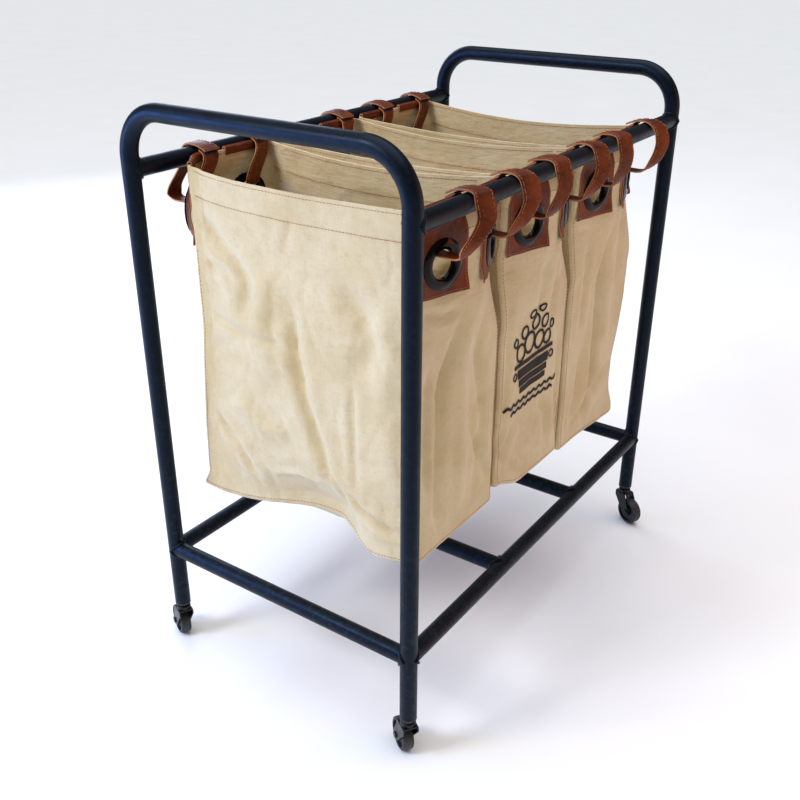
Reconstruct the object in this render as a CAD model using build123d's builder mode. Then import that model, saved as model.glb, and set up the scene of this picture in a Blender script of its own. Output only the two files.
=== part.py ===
"""Laundry sorter on wheels: a welded tube rack, four swivel casters and three hanging canvas bags.

Millimetres. X runs along the long side, the bags' printed faces look towards -Y and Z is up.
The origin lies on the floor, under the middle of the rack.
"""
import os
from math import cos, radians, sin, tan

from build123d import *

os.makedirs("parts", exist_ok=True)

# ---------------------------------------------------------------- driving dimensions
# Rack, bent and welded from one size of steel tube
tube_diameter = 25.0
tube_wall = 1.5
hoop_spacing = 774.0  # between the leg centres of the two end hoops, along X
leg_spacing = 456.0  # between the two leg centres of one hoop, along Y
rack_height = 886.0  # floor to the top of the hoops
bend_radius = 64.0  # of the hoop tube's centre line
lower_rail_height = 182.0  # centre line
handle_rise = 80.5  # from the upper rails' centre line up to the handle bars'
cross_bar_spacing = 258.0  # between the two cross bars under the bags
cope_blunting = 5.0  # how far the tips of a coped tube end stop short of the crossing centre line

# Casters
wheel_diameter = 50.0
wheel_width = 17.0
hub_diameter = 18.0
hub_overhang = 0.8  # of the hub beyond the rim, on each side
rim_thickness = 5.0
web_recess = 4.0  # depth of the dish on each side of the wheel
tread_round = 2.5
caster_trail = 20.0  # from the swivel axis back to the axle
caster_trail_angles = {  # where each caster trails at rest, anticlockwise from +X
    "front_left": 55.0,
    "rear_left": 65.0,
    "front_right": 245.0,
    "rear_right": 235.0,
}
axle_diameter = 6.0
axle_head_diameter = 10.0
axle_head_height = 2.0
axle_clearance = 0.08  # between the wheel's bore and the axle, all round
fork_plate = 2.0
fork_bridge_length = 24.0
fork_side_gap = 0.7  # between the hub and each side plate
fork_tread_gap = 10.0  # from the top of the wheel up to the fork's bridge
fork_shoulder = 10.0  # depth of the straight upper edge of the side plates
fork_eye_diameter = 18.0
fork_bend = 2.5
stem_diameter = 8.0
stem_clearance = 0.1  # between the fork's hole and the stem, all round
stem_collar_diameter = 14.0
stem_collar_height = 4.6
stem_length_in_leg = 30.0
stem_rivet_diameter = 13.0
stem_rivet_height = 3.0
swivel_gap = 0.4  # running gap above and below the fork's bridge
socket_flange = 3.0
socket_depth = 34.0
socket_clearance = 0.15
cap_diameter = 22.8
cap_wall = 1.4
cap_height = 6.0
ball_diameter = 3.4
ball_count = 8
ball_ring_diameter = 14.8

# Bags
bag_sides = ("left", "middle", "right")
bag_gap = 9.0  # between two bags
bag_left_gap = 26.5  # from the left hoop's tube to the left bag
bag_right_gap = 74.5  # from the right bag to the right hoop's tube
bag_rail_gap = 5.5  # from the front and rear walls to the rails beside them
bag_top_rise = 2.0  # of the top edge above the rails' centre line
bag_bottom_gap = 85.5  # from the cross bars up to the bag's bottom
bag_corner_radius = 6.0
canvas_thickness = 2.0

# Leather corner patches, folded over the bag's top edge
leather_thickness = 2.2
patch_width = 84.0
patch_height = 116.0
patch_inset = 7.0  # from the bag's side edge to the patch
eyelet_drop = 73.0  # from the bag's top edge down to the eyelet's centre

# Two-part snap eyelets
eyelet_diameter = 65.0
eyelet_bore = 37.0
eyelet_barrel_wall = 2.5
eyelet_flange = 3.5
eyelet_round = 1.6
eyelet_fit = 0.2  # between the barrel and the holes and ring that it passes through

# Strap loops that hang each patch on the rail
strap_thickness = 2.5
strap_width = 29.0
strap_throat_width = 22.0  # where the leather is gathered inside the eyelet
strap_clearance = 0.35  # between the strap and the rail, and the strap and the eyelet's bore
strap_gather_height = 12.0  # over which the gathered strap widens again above the eyelet's bore
strap_flare_angle = 15.0  # how the outer leg leaves the rail, from the vertical
strap_slope_angle = 20.0  # fall of the strap from the rail's top to the bag's edge
strap_outer_bend = 14.0
strap_inner_bend = 5.0
strap_inner_slack = 4.0  # how far the inner leg stands off the eyelet's back
strap_lean = {"left": 38.0, "right": 32.0}  # how far the strap's top stands towards +X
tape_thickness = 1.2  # of the hook-and-loop tape between the strap's overlapping ends
tape_width = 24.0
tape_length = 15.0
tape_inset = 3.0  # from the strap's inner end to the tape

# ---------------------------------------------------------------- values that follow
tube_radius = tube_diameter / 2
tube_bore_radius = tube_radius - tube_wall
leg_x = hoop_spacing / 2
leg_y = leg_spacing / 2
hoop_bar_height = rack_height - tube_radius

upper_rail_height = hoop_bar_height - handle_rise

wheel_radius = wheel_diameter / 2
axle_height = wheel_radius
hub_width = wheel_width + 2 * hub_overhang
fork_gap = hub_width + 2 * fork_side_gap
fork_half_width = fork_gap / 2 + fork_plate
bridge_underside = wheel_diameter + fork_tread_gap
fork_top_height = bridge_underside + fork_plate
stem_radius = stem_diameter / 2
rivet_top = bridge_underside - swivel_gap
cap_bottom = fork_top_height + swivel_gap
cap_top = cap_bottom + cap_height
collar_top = cap_top + stem_collar_height
leg_end_height = collar_top + socket_flange

bag_row_left = -leg_x + tube_radius + bag_left_gap
bag_row_right = leg_x - tube_radius - bag_right_gap
bag_width = (bag_row_right - bag_row_left + bag_gap) / len(bag_sides) - bag_gap
bag_depth = leg_spacing - tube_diameter - 2 * bag_rail_gap
bag_top_height = upper_rail_height + bag_top_rise
bag_bottom_height = lower_rail_height + tube_radius + bag_bottom_gap
eyelet_offset = bag_width / 2 - patch_inset - patch_width / 2
eyelet_height = bag_top_height - eyelet_drop
eyelet_barrel_radius = eyelet_bore / 2 + eyelet_barrel_wall
wall_stack = canvas_thickness + 2 * leather_thickness  # patch, canvas and patch again
patch_face_y = bag_depth / 2 + leather_thickness

# ---------------------------------------------------------------- rack
# Each end hoop is one tube: two legs and the handle bar between them.
for side, x in (("left", -leg_x), ("right", leg_x)):
    with BuildPart() as end_hoop:
        with BuildLine():
            FilletPolyline(
                (x, -leg_y, leg_end_height),
                (x, -leg_y, hoop_bar_height),
                (x, leg_y, hoop_bar_height),
                (x, leg_y, leg_end_height),
                radius=bend_radius,
            )
        with BuildSketch(Plane((x, -leg_y, leg_end_height))):
            Circle(tube_radius)
            Circle(tube_bore_radius, mode=Mode.SUBTRACT)
        sweep()
    end_hoop.part.label = f"end_hoop_{side}"
    export_step(end_hoop.part, f"parts/{end_hoop.part.label}.step")

# Long rails, coped at both ends to sit on the legs.
long_rails = (
    ("upper_rail_front", -leg_y, upper_rail_height),
    ("upper_rail_rear", leg_y, upper_rail_height),
    ("lower_rail_front", -leg_y, lower_rail_height),
    ("lower_rail_rear", leg_y, lower_rail_height),
)
for name, y, z in long_rails:
    with BuildPart() as long_rail:
        with BuildSketch(Plane.YZ.offset(cope_blunting - leg_x)):
            with Locations((y, z)):
                Circle(tube_radius)
                Circle(tube_bore_radius, mode=Mode.SUBTRACT)
        extrude(amount=hoop_spacing - 2 * cope_blunting)
        with Locations((-leg_x, y, z), (leg_x, y, z)):
            Cylinder(tube_radius, 2 * tube_diameter, mode=Mode.SUBTRACT)
    long_rail.part.label = name
    export_step(long_rail.part, f"parts/{long_rail.part.label}.step")

# Short rails across the ends and under the bags. The end rails are coped to the legs as well.
short_rails = (
    ("lower_end_rail_left", -leg_x),
    ("lower_end_rail_right", leg_x),
    ("cross_bar_left", -cross_bar_spacing / 2),
    ("cross_bar_right", cross_bar_spacing / 2),
)
for name, x in short_rails:
    with BuildPart() as short_rail:
        with BuildSketch(Plane.XZ.offset(-leg_y + cope_blunting)):
            with Locations((x, lower_rail_height)):
                Circle(tube_radius)
                Circle(tube_bore_radius, mode=Mode.SUBTRACT)
        extrude(amount=leg_spacing - 2 * cope_blunting)
        with Locations((0, -leg_y, lower_rail_height), (0, leg_y, lower_rail_height)):
            Cylinder(tube_radius, hoop_spacing, rotation=(0, 90, 0), mode=Mode.SUBTRACT)
        if abs(x) == leg_x:
            with Locations((x, -leg_y, lower_rail_height), (x, leg_y, lower_rail_height)):
                Cylinder(tube_radius, 2 * tube_diameter, mode=Mode.SUBTRACT)
    short_rail.part.label = name
    export_step(short_rail.part, f"parts/{short_rail.part.label}.step")

# ---------------------------------------------------------------- casters
for corner, trail_angle in caster_trail_angles.items():
    x = leg_x if corner.endswith("right") else -leg_x
    y = leg_y if corner.startswith("rear") else -leg_y
    swivel_axis = Axis((x, y, 0), (0, 0, 1))
    trail = Vector(cos(radians(trail_angle)), sin(radians(trail_angle)), 0)
    # Local X runs back along the trail, local Y is up, the normal lies along the axle.
    trail_plane = Plane((x, y, 0), x_dir=trail, z_dir=trail.cross(Vector(0, 0, 1)))

    # A socket that is driven into the end of the leg and holds the stem.
    with BuildPart() as stem_socket:
        with BuildSketch(Plane((x, y, collar_top))):
            Circle(tube_radius)
        extrude(amount=socket_flange)
        with BuildSketch(Plane((x, y, leg_end_height))):
            Circle(tube_bore_radius - socket_clearance)
        extrude(amount=socket_depth)
        with Locations((x, y, collar_top)):
            Cylinder(
                stem_radius,
                socket_flange + socket_depth,
                align=(Align.CENTER, Align.CENTER, Align.MIN),
                mode=Mode.SUBTRACT,
            )
    stem_socket.part.label = f"stem_socket_{corner}"
    export_step(stem_socket.part, f"parts/{stem_socket.part.label}.step")

    # The stem: a pin with a collar, riveted over below the fork's bridge.
    with BuildPart() as caster_stem:
        with BuildSketch(trail_plane):
            with BuildLine():
                Polyline(
                    (0, rivet_top - stem_rivet_height),
                    (stem_rivet_diameter / 2, rivet_top - stem_rivet_height),
                    (stem_rivet_diameter / 2, rivet_top),
                    (stem_radius, rivet_top),
                    (stem_radius, cap_top),
                    (stem_collar_diameter / 2, cap_top),
                    (stem_collar_diameter / 2, collar_top),
                    (stem_radius, collar_top),
                    (stem_radius, leg_end_height + stem_length_in_leg),
                    (0, leg_end_height + stem_length_in_leg),
                    close=True,
                )
            make_face()
        revolve(axis=swivel_axis)
    caster_stem.part.label = f"caster_stem_{corner}"
    export_step(caster_stem.part, f"parts/{caster_stem.part.label}.step")

    # The domed cap that covers the bearing balls and stays with the stem.
    with BuildPart() as swivel_cap:
        with BuildSketch(Plane((x, y, cap_bottom))):
            Circle(cap_diameter / 2)
        extrude(amount=cap_height)
        fillet(swivel_cap.edges().sort_by(Axis.Z)[-1], cap_height / 2)
        with BuildSketch(Plane((x, y, cap_bottom))):
            Circle(cap_diameter / 2 - cap_wall)
        extrude(amount=ball_diameter, mode=Mode.SUBTRACT)
        with Locations((x, y, fork_top_height)):
            Cylinder(stem_radius, 4 * cap_height, mode=Mode.SUBTRACT)
    swivel_cap.part.label = f"swivel_cap_{corner}"
    export_step(swivel_cap.part, f"parts/{swivel_cap.part.label}.step")

    # The balls run on the fork's bridge.
    with BuildPart() as bearing_balls:
        with Locations((x, y, fork_top_height + ball_diameter / 2)):
            with PolarLocations(ball_ring_diameter / 2, ball_count):
                Sphere(ball_diameter / 2)
    bearing_balls.part.label = f"bearing_balls_{corner}"
    export_step(bearing_balls.part, f"parts/{bearing_balls.part.label}.step")

    # The fork: one strip of steel pressed into a bridge and two side plates.
    with BuildPart() as fork:
        with BuildSketch(trail_plane):
            with Locations((0, fork_top_height)):
                Rectangle(fork_bridge_length, fork_shoulder, align=(Align.CENTER, Align.MAX))
            with Locations((caster_trail, axle_height)):
                Circle(fork_eye_diameter / 2)
            make_hull()
        extrude(amount=fork_half_width, both=True)
        bridge_edges = fork.edges().filter_by(Axis((0, 0, 0), trail)).group_by(Axis.Z)[-1]
        fillet(bridge_edges, fork_bend)
        with BuildSketch(trail_plane):
            with Locations((caster_trail, bridge_underside)):
                Rectangle(4 * fork_bridge_length, fork_top_height, align=(Align.CENTER, Align.MAX))
        extrude(amount=fork_gap / 2, both=True, mode=Mode.SUBTRACT)
        with BuildSketch(trail_plane):
            with Locations((caster_trail, axle_height)):
                Circle(axle_diameter / 2)
        extrude(amount=fork_half_width, both=True, mode=Mode.SUBTRACT)
        with Locations((x, y, fork_top_height)):
            Cylinder(stem_radius + stem_clearance, 2 * fork_bend + fork_plate, mode=Mode.SUBTRACT)
    fork.part.label = f"fork_{corner}"
    export_step(fork.part, f"parts/{fork.part.label}.step")

    # The axle is a rivet with a head on each side plate.
    with BuildPart() as axle:
        with BuildSketch(trail_plane):
            with Locations((caster_trail, axle_height)):
                Circle(axle_diameter / 2)
        extrude(amount=fork_half_width, both=True)
        for outward in (1, -1):
            with BuildSketch(trail_plane.offset(outward * fork_half_width)):
                with Locations((caster_trail, axle_height)):
                    Circle(axle_head_diameter / 2)
            extrude(amount=outward * axle_head_height)
    axle.part.label = f"axle_{corner}"
    export_step(axle.part, f"parts/{axle.part.label}.step")

    # The wheel is moulded in one: hub, dished web and rim.
    with BuildPart() as wheel:
        with BuildSketch(trail_plane):
            with Locations((caster_trail, axle_height)):
                Circle(wheel_radius)
        extrude(amount=wheel_width / 2, both=True)
        fillet(wheel.edges().filter_by(GeomType.CIRCLE), tread_round)
        for outward in (1, -1):
            with BuildSketch(trail_plane.offset(outward * wheel_width / 2)):
                with Locations((caster_trail, axle_height)):
                    Circle(wheel_radius - rim_thickness)
                    Circle(hub_diameter / 2, mode=Mode.SUBTRACT)
            extrude(amount=-outward * web_recess, mode=Mode.SUBTRACT)
        with BuildSketch(trail_plane):
            with Locations((caster_trail, axle_height)):
                Circle(hub_diameter / 2)
        extrude(amount=hub_width / 2, both=True)
        with BuildSketch(trail_plane):
            with Locations((caster_trail, axle_height)):
                Circle(axle_diameter / 2 + axle_clearance)
        extrude(amount=hub_width / 2, both=True, mode=Mode.SUBTRACT)
    wheel.part.label = f"wheel_{corner}"
    export_step(wheel.part, f"parts/{wheel.part.label}.step")


# ---------------------------------------------------------------- bags
# The straps' shape, as points (outward, up) from the centre of the rail that they hang on. A strap
# starts with its tail over the rail, runs down outside, in through the eyelet and up inside the
# bag, and ends under its own tail, with the hook-and-loop tape between the two ends.
strap_ride = tube_radius + strap_clearance + strap_thickness / 2
strap_lift = strap_thickness + tape_thickness
slope = radians(strap_slope_angle)
flare = radians(strap_flare_angle)
inner_leg = (
    bag_depth / 2 - leg_y - canvas_thickness - leather_thickness
    - eyelet_flange - strap_inner_slack - strap_thickness / 2
)
bore_chord = ((eyelet_bore / 2) ** 2 - (strap_throat_width / 2) ** 2) ** 0.5
throat_height = eyelet_height + bore_chord - strap_clearance - strap_thickness / 2
throat_level = throat_height - upper_rail_height


def on_slope(outward, layer):
    """Point on the line that slopes from the rail's top to the bag, raised by a layer."""
    return (outward, (strap_ride + layer + sin(slope) * outward) / cos(slope))


def on_flare(height):
    """Point on the line that the outer leg follows away from the rail."""
    return ((strap_ride - sin(flare) * height) / cos(flare), height)


shoulder_height = (strap_ride + strap_lift + strap_ride * sin(slope) / cos(flare)) / (
    cos(slope) + sin(slope) * tan(flare)
)
strap_top_x = -strap_ride * sin(slope)
strap_points = (
    on_slope(inner_leg + strap_inner_bend, strap_lift),
    on_flare(shoulder_height),
    on_flare(throat_level),
    (inner_leg, throat_level),
    on_slope(inner_leg, 0),
    on_slope(strap_top_x, 0),
)
strap_bends = (strap_ride, strap_outer_bend, strap_inner_bend, strap_inner_bend)
tape_end_x = strap_top_x - tape_inset
tape_points = (
    on_slope(tape_end_x - tape_length, strap_lift / 2),
    on_slope(tape_end_x, strap_lift / 2),
)


def leaning_band(points, bends, thickness, width, x, face, lean):
    """Make a band that follows points on one face of the bag, with its top leaning towards +X."""
    rail_plane = Plane((x, face * leg_y, upper_rail_height), x_dir=(0, face, 0), z_dir=(face, 0, 0))
    front_plane = Plane((x, face * leg_y, 0), x_dir=(1, 0, 0), z_dir=(0, -1, 0))
    gather_bottom = throat_height - strap_thickness
    gather_top = throat_height + strap_thickness
    full_width_height = gather_top + strap_gather_height
    shift_rate = lean / (upper_rail_height + tube_radius - gather_top)
    full_width_shift = shift_rate * strap_gather_height
    top_shift = shift_rate * (rack_height - gather_top)
    with BuildPart() as band:
        with BuildSketch(rail_plane):
            with BuildLine():
                if bends:
                    FilletPolyline(*points, radius=bends)
                else:
                    Line(*points)
            trace(line_width=thickness)
        extrude(amount=bag_width, both=True)
        with BuildSketch(front_plane):
            Polygon(
                (-strap_throat_width / 2, gather_bottom),
                (strap_throat_width / 2, gather_bottom),
                (strap_throat_width / 2, gather_top),
                (full_width_shift + width / 2, full_width_height),
                (top_shift + width / 2, rack_height),
                (top_shift - width / 2, rack_height),
                (full_width_shift - width / 2, full_width_height),
                (-strap_throat_width / 2, gather_top),
                align=None,
            )
        extrude(amount=leg_y / 2, both=True, mode=Mode.INTERSECT)
    return band.part


for index, side in enumerate(bag_sides):
    bag_x = bag_row_left + bag_width / 2 + index * (bag_width + bag_gap)
    eyelet_places = (
        (bag_x - eyelet_offset, eyelet_height),
        (bag_x + eyelet_offset, eyelet_height),
    )
    hangers = [  # where each strap hangs: eyelet X, face of the bag, lean of the strap
        (bag_x + hand * eyelet_offset, face, strap_lean[hand_name])
        for face in (-1, 1)
        for hand, hand_name in ((-1, "left"), (1, "right"))
    ]

    # The canvas bag: four walls and a bottom, open at the top, with a hole for each eyelet.
    with BuildPart() as bag:
        with BuildSketch(Plane((bag_x, 0, bag_bottom_height))):
            RectangleRounded(bag_width, bag_depth, bag_corner_radius)
        extrude(amount=bag_top_height - bag_bottom_height)
        offset(amount=-canvas_thickness, openings=bag.faces().sort_by(Axis.Z)[-1])
        with BuildSketch(Plane.XZ):
            with Locations(*eyelet_places):
                Circle(eyelet_barrel_radius + eyelet_fit)
        extrude(amount=bag_depth, both=True, mode=Mode.SUBTRACT)
    bag.part.label = f"bag_{side}"
    export_step(bag.part, f"parts/{bag.part.label}.step")

    # Leather patches, each folded over the top edge so that it backs both sides of the canvas.
    with BuildPart() as leather_patches:
        for eyelet_x, face, _ in hangers:
            inwards = Align.MIN if face < 0 else Align.MAX
            with BuildSketch(Plane.YZ.offset(eyelet_x - patch_width / 2)):
                with Locations((face * patch_face_y, bag_top_height + leather_thickness)):
                    Rectangle(wall_stack, patch_height, align=(inwards, Align.MAX))
                with Locations((face * bag_depth / 2, bag_top_height)):
                    Rectangle(
                        canvas_thickness,
                        patch_height,
                        align=(inwards, Align.MAX),
                        mode=Mode.SUBTRACT,
                    )
            extrude(amount=patch_width)
        with BuildSketch(Plane.XZ):
            with Locations(*eyelet_places):
                Circle(eyelet_barrel_radius + eyelet_fit)
        extrude(amount=bag_depth, both=True, mode=Mode.SUBTRACT)
    leather_patches.part.label = f"leather_patches_{side}"
    export_step(leather_patches.part, f"parts/{leather_patches.part.label}.step")

    # Eyelet faces: the outer ring with the barrel that snaps through the wall.
    with BuildPart() as eyelet_faces:
        for eyelet_x, face, _ in hangers:
            wall = Plane((eyelet_x, face * bag_depth / 2, eyelet_height), z_dir=(0, face, 0))
            with BuildSketch(wall.offset(leather_thickness)):
                Circle(eyelet_diameter / 2)
                Circle(eyelet_bore / 2, mode=Mode.SUBTRACT)
            extrude(amount=eyelet_flange)
            with BuildSketch(wall.offset(leather_thickness - wall_stack - eyelet_flange)):
                Circle(eyelet_barrel_radius)
                Circle(eyelet_bore / 2, mode=Mode.SUBTRACT)
            extrude(amount=wall_stack + eyelet_flange)
        rim_edges = eyelet_faces.edges().filter_by(GeomType.CIRCLE).group_by(Axis.Y)
        fillet(rim_edges[0] + rim_edges[-1], eyelet_round)
    eyelet_faces.part.label = f"eyelet_faces_{side}"
    export_step(eyelet_faces.part, f"parts/{eyelet_faces.part.label}.step")

    # Eyelet backs: the plain rings that lock the faces from inside the bag.
    with BuildPart() as eyelet_backs:
        for eyelet_x, face, _ in hangers:
            wall = Plane((eyelet_x, face * bag_depth / 2, eyelet_height), z_dir=(0, face, 0))
            with BuildSketch(wall.offset(leather_thickness - wall_stack)):
                Circle(eyelet_diameter / 2)
                Circle(eyelet_barrel_radius + eyelet_fit, mode=Mode.SUBTRACT)
            extrude(amount=-eyelet_flange)
    eyelet_backs.part.label = f"eyelet_backs_{side}"
    export_step(eyelet_backs.part, f"parts/{eyelet_backs.part.label}.step")

    # Leather straps: each goes round the rail and through its eyelet.
    straps = [
        leaning_band(strap_points, strap_bends, strap_thickness, strap_width, *hanger)
        for hanger in hangers
    ]
    with BuildPart() as strap_loops:
        add(straps)
    strap_loops.part.label = f"strap_loops_{side}"
    export_step(strap_loops.part, f"parts/{strap_loops.part.label}.step")

    # Hook-and-loop tape between the overlapping ends of each strap.
    tapes = [
        leaning_band(tape_points, (), tape_thickness, tape_width, *hanger) for hanger in hangers
    ]
    with BuildPart() as hook_tapes:
        add(tapes)
    hook_tapes.part.label = f"hook_tapes_{side}"
    export_step(hook_tapes.part, f"parts/{hook_tapes.part.label}.step")
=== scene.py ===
# %% [markdown]
# # A laundry sorter on wheels
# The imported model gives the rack, the casters and everything that has to fit. This script adds
# what the eye needs: canvas that hangs and creases, leather that bends, thread, weld beads, a
# printed mark and a finish for every surface. All sizes below are in millimetres and are turned
# into metres where a mesh is made.

# %% Load the frame
import math
import random

import bmesh
import bpy
import mathutils.noise
from mathutils import Matrix, Vector


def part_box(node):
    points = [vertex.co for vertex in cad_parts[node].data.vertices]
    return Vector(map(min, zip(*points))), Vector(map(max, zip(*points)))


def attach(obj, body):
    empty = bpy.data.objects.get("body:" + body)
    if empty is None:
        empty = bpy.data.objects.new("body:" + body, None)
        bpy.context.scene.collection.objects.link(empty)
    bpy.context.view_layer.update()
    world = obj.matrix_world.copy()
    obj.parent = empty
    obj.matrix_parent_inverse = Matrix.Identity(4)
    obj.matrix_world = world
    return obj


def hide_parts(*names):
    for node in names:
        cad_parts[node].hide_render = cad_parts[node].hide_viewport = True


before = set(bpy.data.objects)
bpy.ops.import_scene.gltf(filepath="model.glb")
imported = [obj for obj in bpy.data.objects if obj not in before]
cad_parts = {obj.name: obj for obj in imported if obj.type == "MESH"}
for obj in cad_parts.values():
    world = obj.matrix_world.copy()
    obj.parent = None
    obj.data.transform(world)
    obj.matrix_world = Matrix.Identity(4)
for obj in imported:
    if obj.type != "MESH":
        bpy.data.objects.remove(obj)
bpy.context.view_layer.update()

MM = 0.001

# %% [markdown]
# ## Camera and light
# The camera comes first, because it decides what the viewer can see. It looks down at the rack's
# left end from a little above the handle, and it is close, so the near leg looks much longer than
# the far one. Its place is measured from the floor under the rack's middle, and two angles say
# which way it looks.

# %% Camera
camera_place = Vector((-1242.5, -806.6, 1091.2)) * MM
camera_azimuth = math.radians(-55.19)
camera_elevation = math.radians(26.38)
camera_roll = math.radians(0.2)
camera_lens = 43.37

back = Vector((
    math.sin(camera_azimuth) * math.cos(camera_elevation),
    -math.cos(camera_azimuth) * math.cos(camera_elevation),
    math.sin(camera_elevation),
))
camera_data = bpy.data.cameras.new("camera")
camera_data.lens = camera_lens
camera_data.sensor_width = 36
camera_data.clip_start = 0.02
camera = bpy.data.objects.new("camera", camera_data)
bpy.context.collection.objects.link(camera)
camera.location = camera_place
turn = (-back).to_track_quat("-Z", "Y").to_matrix().to_4x4()
camera.matrix_world = (
    Matrix.Translation(camera_place) @ turn @ Matrix.Rotation(camera_roll, 4, "Z")
)
bpy.context.scene.camera = camera

# %% [markdown]
# A product like this is lit with large soft sources. The key stands high on the left, so the end of
# the rack that faces it turns cream and the long front stays a shade darker. A weak, warm light from
# the front right keeps the front readable. A blue one at the rear left cools the tubes on that side,
# and one at the rear right draws a rim along them. A wide glow from overhead lights the pale floor.

# %% Floor, world and lamps
def hex_colour(code):
    """Turn an sRGB hex value into the linear colour that shaders use."""
    parts = [int(code[place:place + 2], 16) / 255 for place in (1, 3, 5)]
    linear = [p / 12.92 if p <= 0.04045 else ((p + 0.055) / 1.055) ** 2.4 for p in parts]
    return (*linear, 1.0)


def soft_lamp(name, place, aim, size, watts, colour):
    """Add a square area lamp that looks at a point."""
    data = bpy.data.lights.new(name, "AREA")
    data.energy = watts
    data.size = size
    data.color = hex_colour(colour)[:3]
    lamp = bpy.data.objects.new(name, data)
    bpy.context.collection.objects.link(lamp)
    lamp.location = place
    lamp.rotation_euler = (Vector(aim) - Vector(place)).to_track_quat("-Z", "Y").to_euler()
    return lamp


soft_lamp("key", (-2.3, 1.1, 2.3), (0, 0, 0.5), 0.8, 50, "#F6F8FF")
soft_lamp("front", (1.6, -2.6, 1.2), (0, 0, 0.5), 1.2, 14, "#FF8C3C")
soft_lamp("window", (-1.9, 1.9, 0.8), (-0.4, 0.25, 0.5), 1.0, 44, "#6FA4FF")
soft_lamp("rim", (1.6, 2.6, 1.6), (0, 0, 0.6), 1.6, 30, "#DCEAFF")

glow = bpy.data.lights.new("overhead", "SUN")
glow.energy = 2.55
glow.angle = math.radians(70)
glow.color = hex_colour("#F6F9FF")[:3]
overhead = bpy.data.objects.new("overhead", glow)
bpy.context.collection.objects.link(overhead)
overhead.location = (0, 0, 4)

world = bpy.data.worlds.new("studio")
bpy.context.scene.world = world
world.use_nodes = True
world.node_tree.nodes["Background"].inputs["Color"].default_value = hex_colour("#F2F4F7")
world.node_tree.nodes["Background"].inputs["Strength"].default_value = 0.18
bpy.context.scene.view_settings.view_transform = "Standard"

bpy.ops.object.select_all(action="DESELECT")
bpy.ops.mesh.primitive_plane_add(size=70, location=(0, 0, 0))
floor = bpy.context.active_object
floor.name = "floor"

# %% [markdown]
# ## Finishes
# Each finish starts from the real thing: what it is made of and how its surface was made. One
# small function adds a node, sets it and links it, so that a material reads like a recipe.

# %% Node helper
def add_node(tree, kind, inputs=None, **settings):
    """Add a node, set its properties, and set or link its inputs."""
    made = tree.nodes.new(kind)
    for name, value in settings.items():
        setattr(made, name, value)
    for socket, value in (inputs or {}).items():
        if isinstance(value, bpy.types.NodeSocket):
            tree.links.new(value, made.inputs[socket])
        else:
            made.inputs[socket].default_value = value
    return made


def new_finish(name):
    """Start a material and return it with its tree, its shader and its object coordinates."""
    material = bpy.data.materials.new(name)
    material.use_nodes = True
    tree = material.node_tree
    place = add_node(tree, "ShaderNodeTexCoord").outputs["Object"]
    return material, tree, tree.nodes["Principled BSDF"], place


def per_mm(size):
    """Texture scale that repeats a pattern every size millimetres."""
    return 1 / (size * MM)


def mix_colours(tree, factor, first, second):
    """Mix two hex colours, or a colour socket and a hex colour, by a factor socket."""
    first, second = (
        hex_colour(c) if isinstance(c, str) else c for c in (first, second)
    )
    mixed = add_node(
        tree, "ShaderNodeMix", {"Factor": factor, 6: first, 7: second}, data_type="RGBA"
    )
    return mixed.outputs[2]


def stretch(tree, value, low, high, to_low=0.0, to_high=1.0):
    """Map a value from low..high to to_low..to_high, clamped."""
    mapped = add_node(
        tree,
        "ShaderNodeMapRange",
        {"Value": value, "From Min": low, "From Max": high, "To Min": to_low, "To Max": to_high},
    )
    return mapped.outputs["Result"]


def noise(tree, place, size, detail=2.0, roughness=0.5):
    """Noise whose blotches are about size millimetres wide."""
    made = add_node(
        tree,
        "ShaderNodeTexNoise",
        {"Vector": place, "Scale": per_mm(size), "Detail": detail, "Roughness": roughness},
    )
    return made.outputs["Fac"]


def bump(tree, height, depth, under=None):
    """Bump of a depth in millimetres, over another bump if one is given."""
    inputs = {"Height": height, "Distance": depth * MM, "Strength": 1.0}
    if under is not None:
        inputs["Normal"] = under
    return add_node(tree, "ShaderNodeBump", inputs).outputs["Normal"]


# %% [markdown]
# The tubes are powder-coated steel. Powder melts into a thick, slightly lumpy skin, so the eye
# sees a satin black with a faint orange peel about a millimetre and a half across. Its reflections
# get a pale blue specular tint, a painted reflection colour that makes it look navy. Dust settles
# on it, most of all low down, and shows as a grey veil.

# %% Powder coat
def make_powder_coat():
    material, tree, shader, place = new_finish("satin_black_powder_coat")
    height = add_node(tree, "ShaderNodeSeparateXYZ", {"Vector": place}).outputs["Z"]
    low_down = stretch(tree, height, 0.45, 0.05, 0.0, 1.0)
    specks = stretch(tree, noise(tree, place, 9, 6, 0.7), 0.5, 0.72)
    dust = add_node(
        tree, "ShaderNodeMath", {0: specks, 1: stretch(tree, low_down, 0, 1, 0.10, 0.42)},
        operation="MULTIPLY",
    ).outputs[0]
    tone = mix_colours(tree, noise(tree, place, 60), "#06090E", "#0A0F18")
    tree.links.new(mix_colours(tree, dust, tone, "#3E4650"), shader.inputs["Base Color"])
    tree.links.new(
        stretch(tree, noise(tree, place, 25, 4), 0.3, 0.7, 0.34, 0.46), shader.inputs["Roughness"]
    )
    tree.links.new(bump(tree, noise(tree, place, 1.6, 1), 0.03), shader.inputs["Normal"])
    shader.inputs["IOR"].default_value = 1.5
    shader.inputs["Specular IOR Level"].default_value = 0.22
    # Painted reflection: this pale blue tint colours every highlight on the tubes blue, in place of blue
    # light.
    shader.inputs["Specular Tint"].default_value = hex_colour("#A9C8F2")
    return material


# %% [markdown]
# Caster forks, stems and caps are pressed steel with a thin black electrocoat: smoother and
# harder than powder, with the grain of the steel still faintly there and greyer worn edges.

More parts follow.
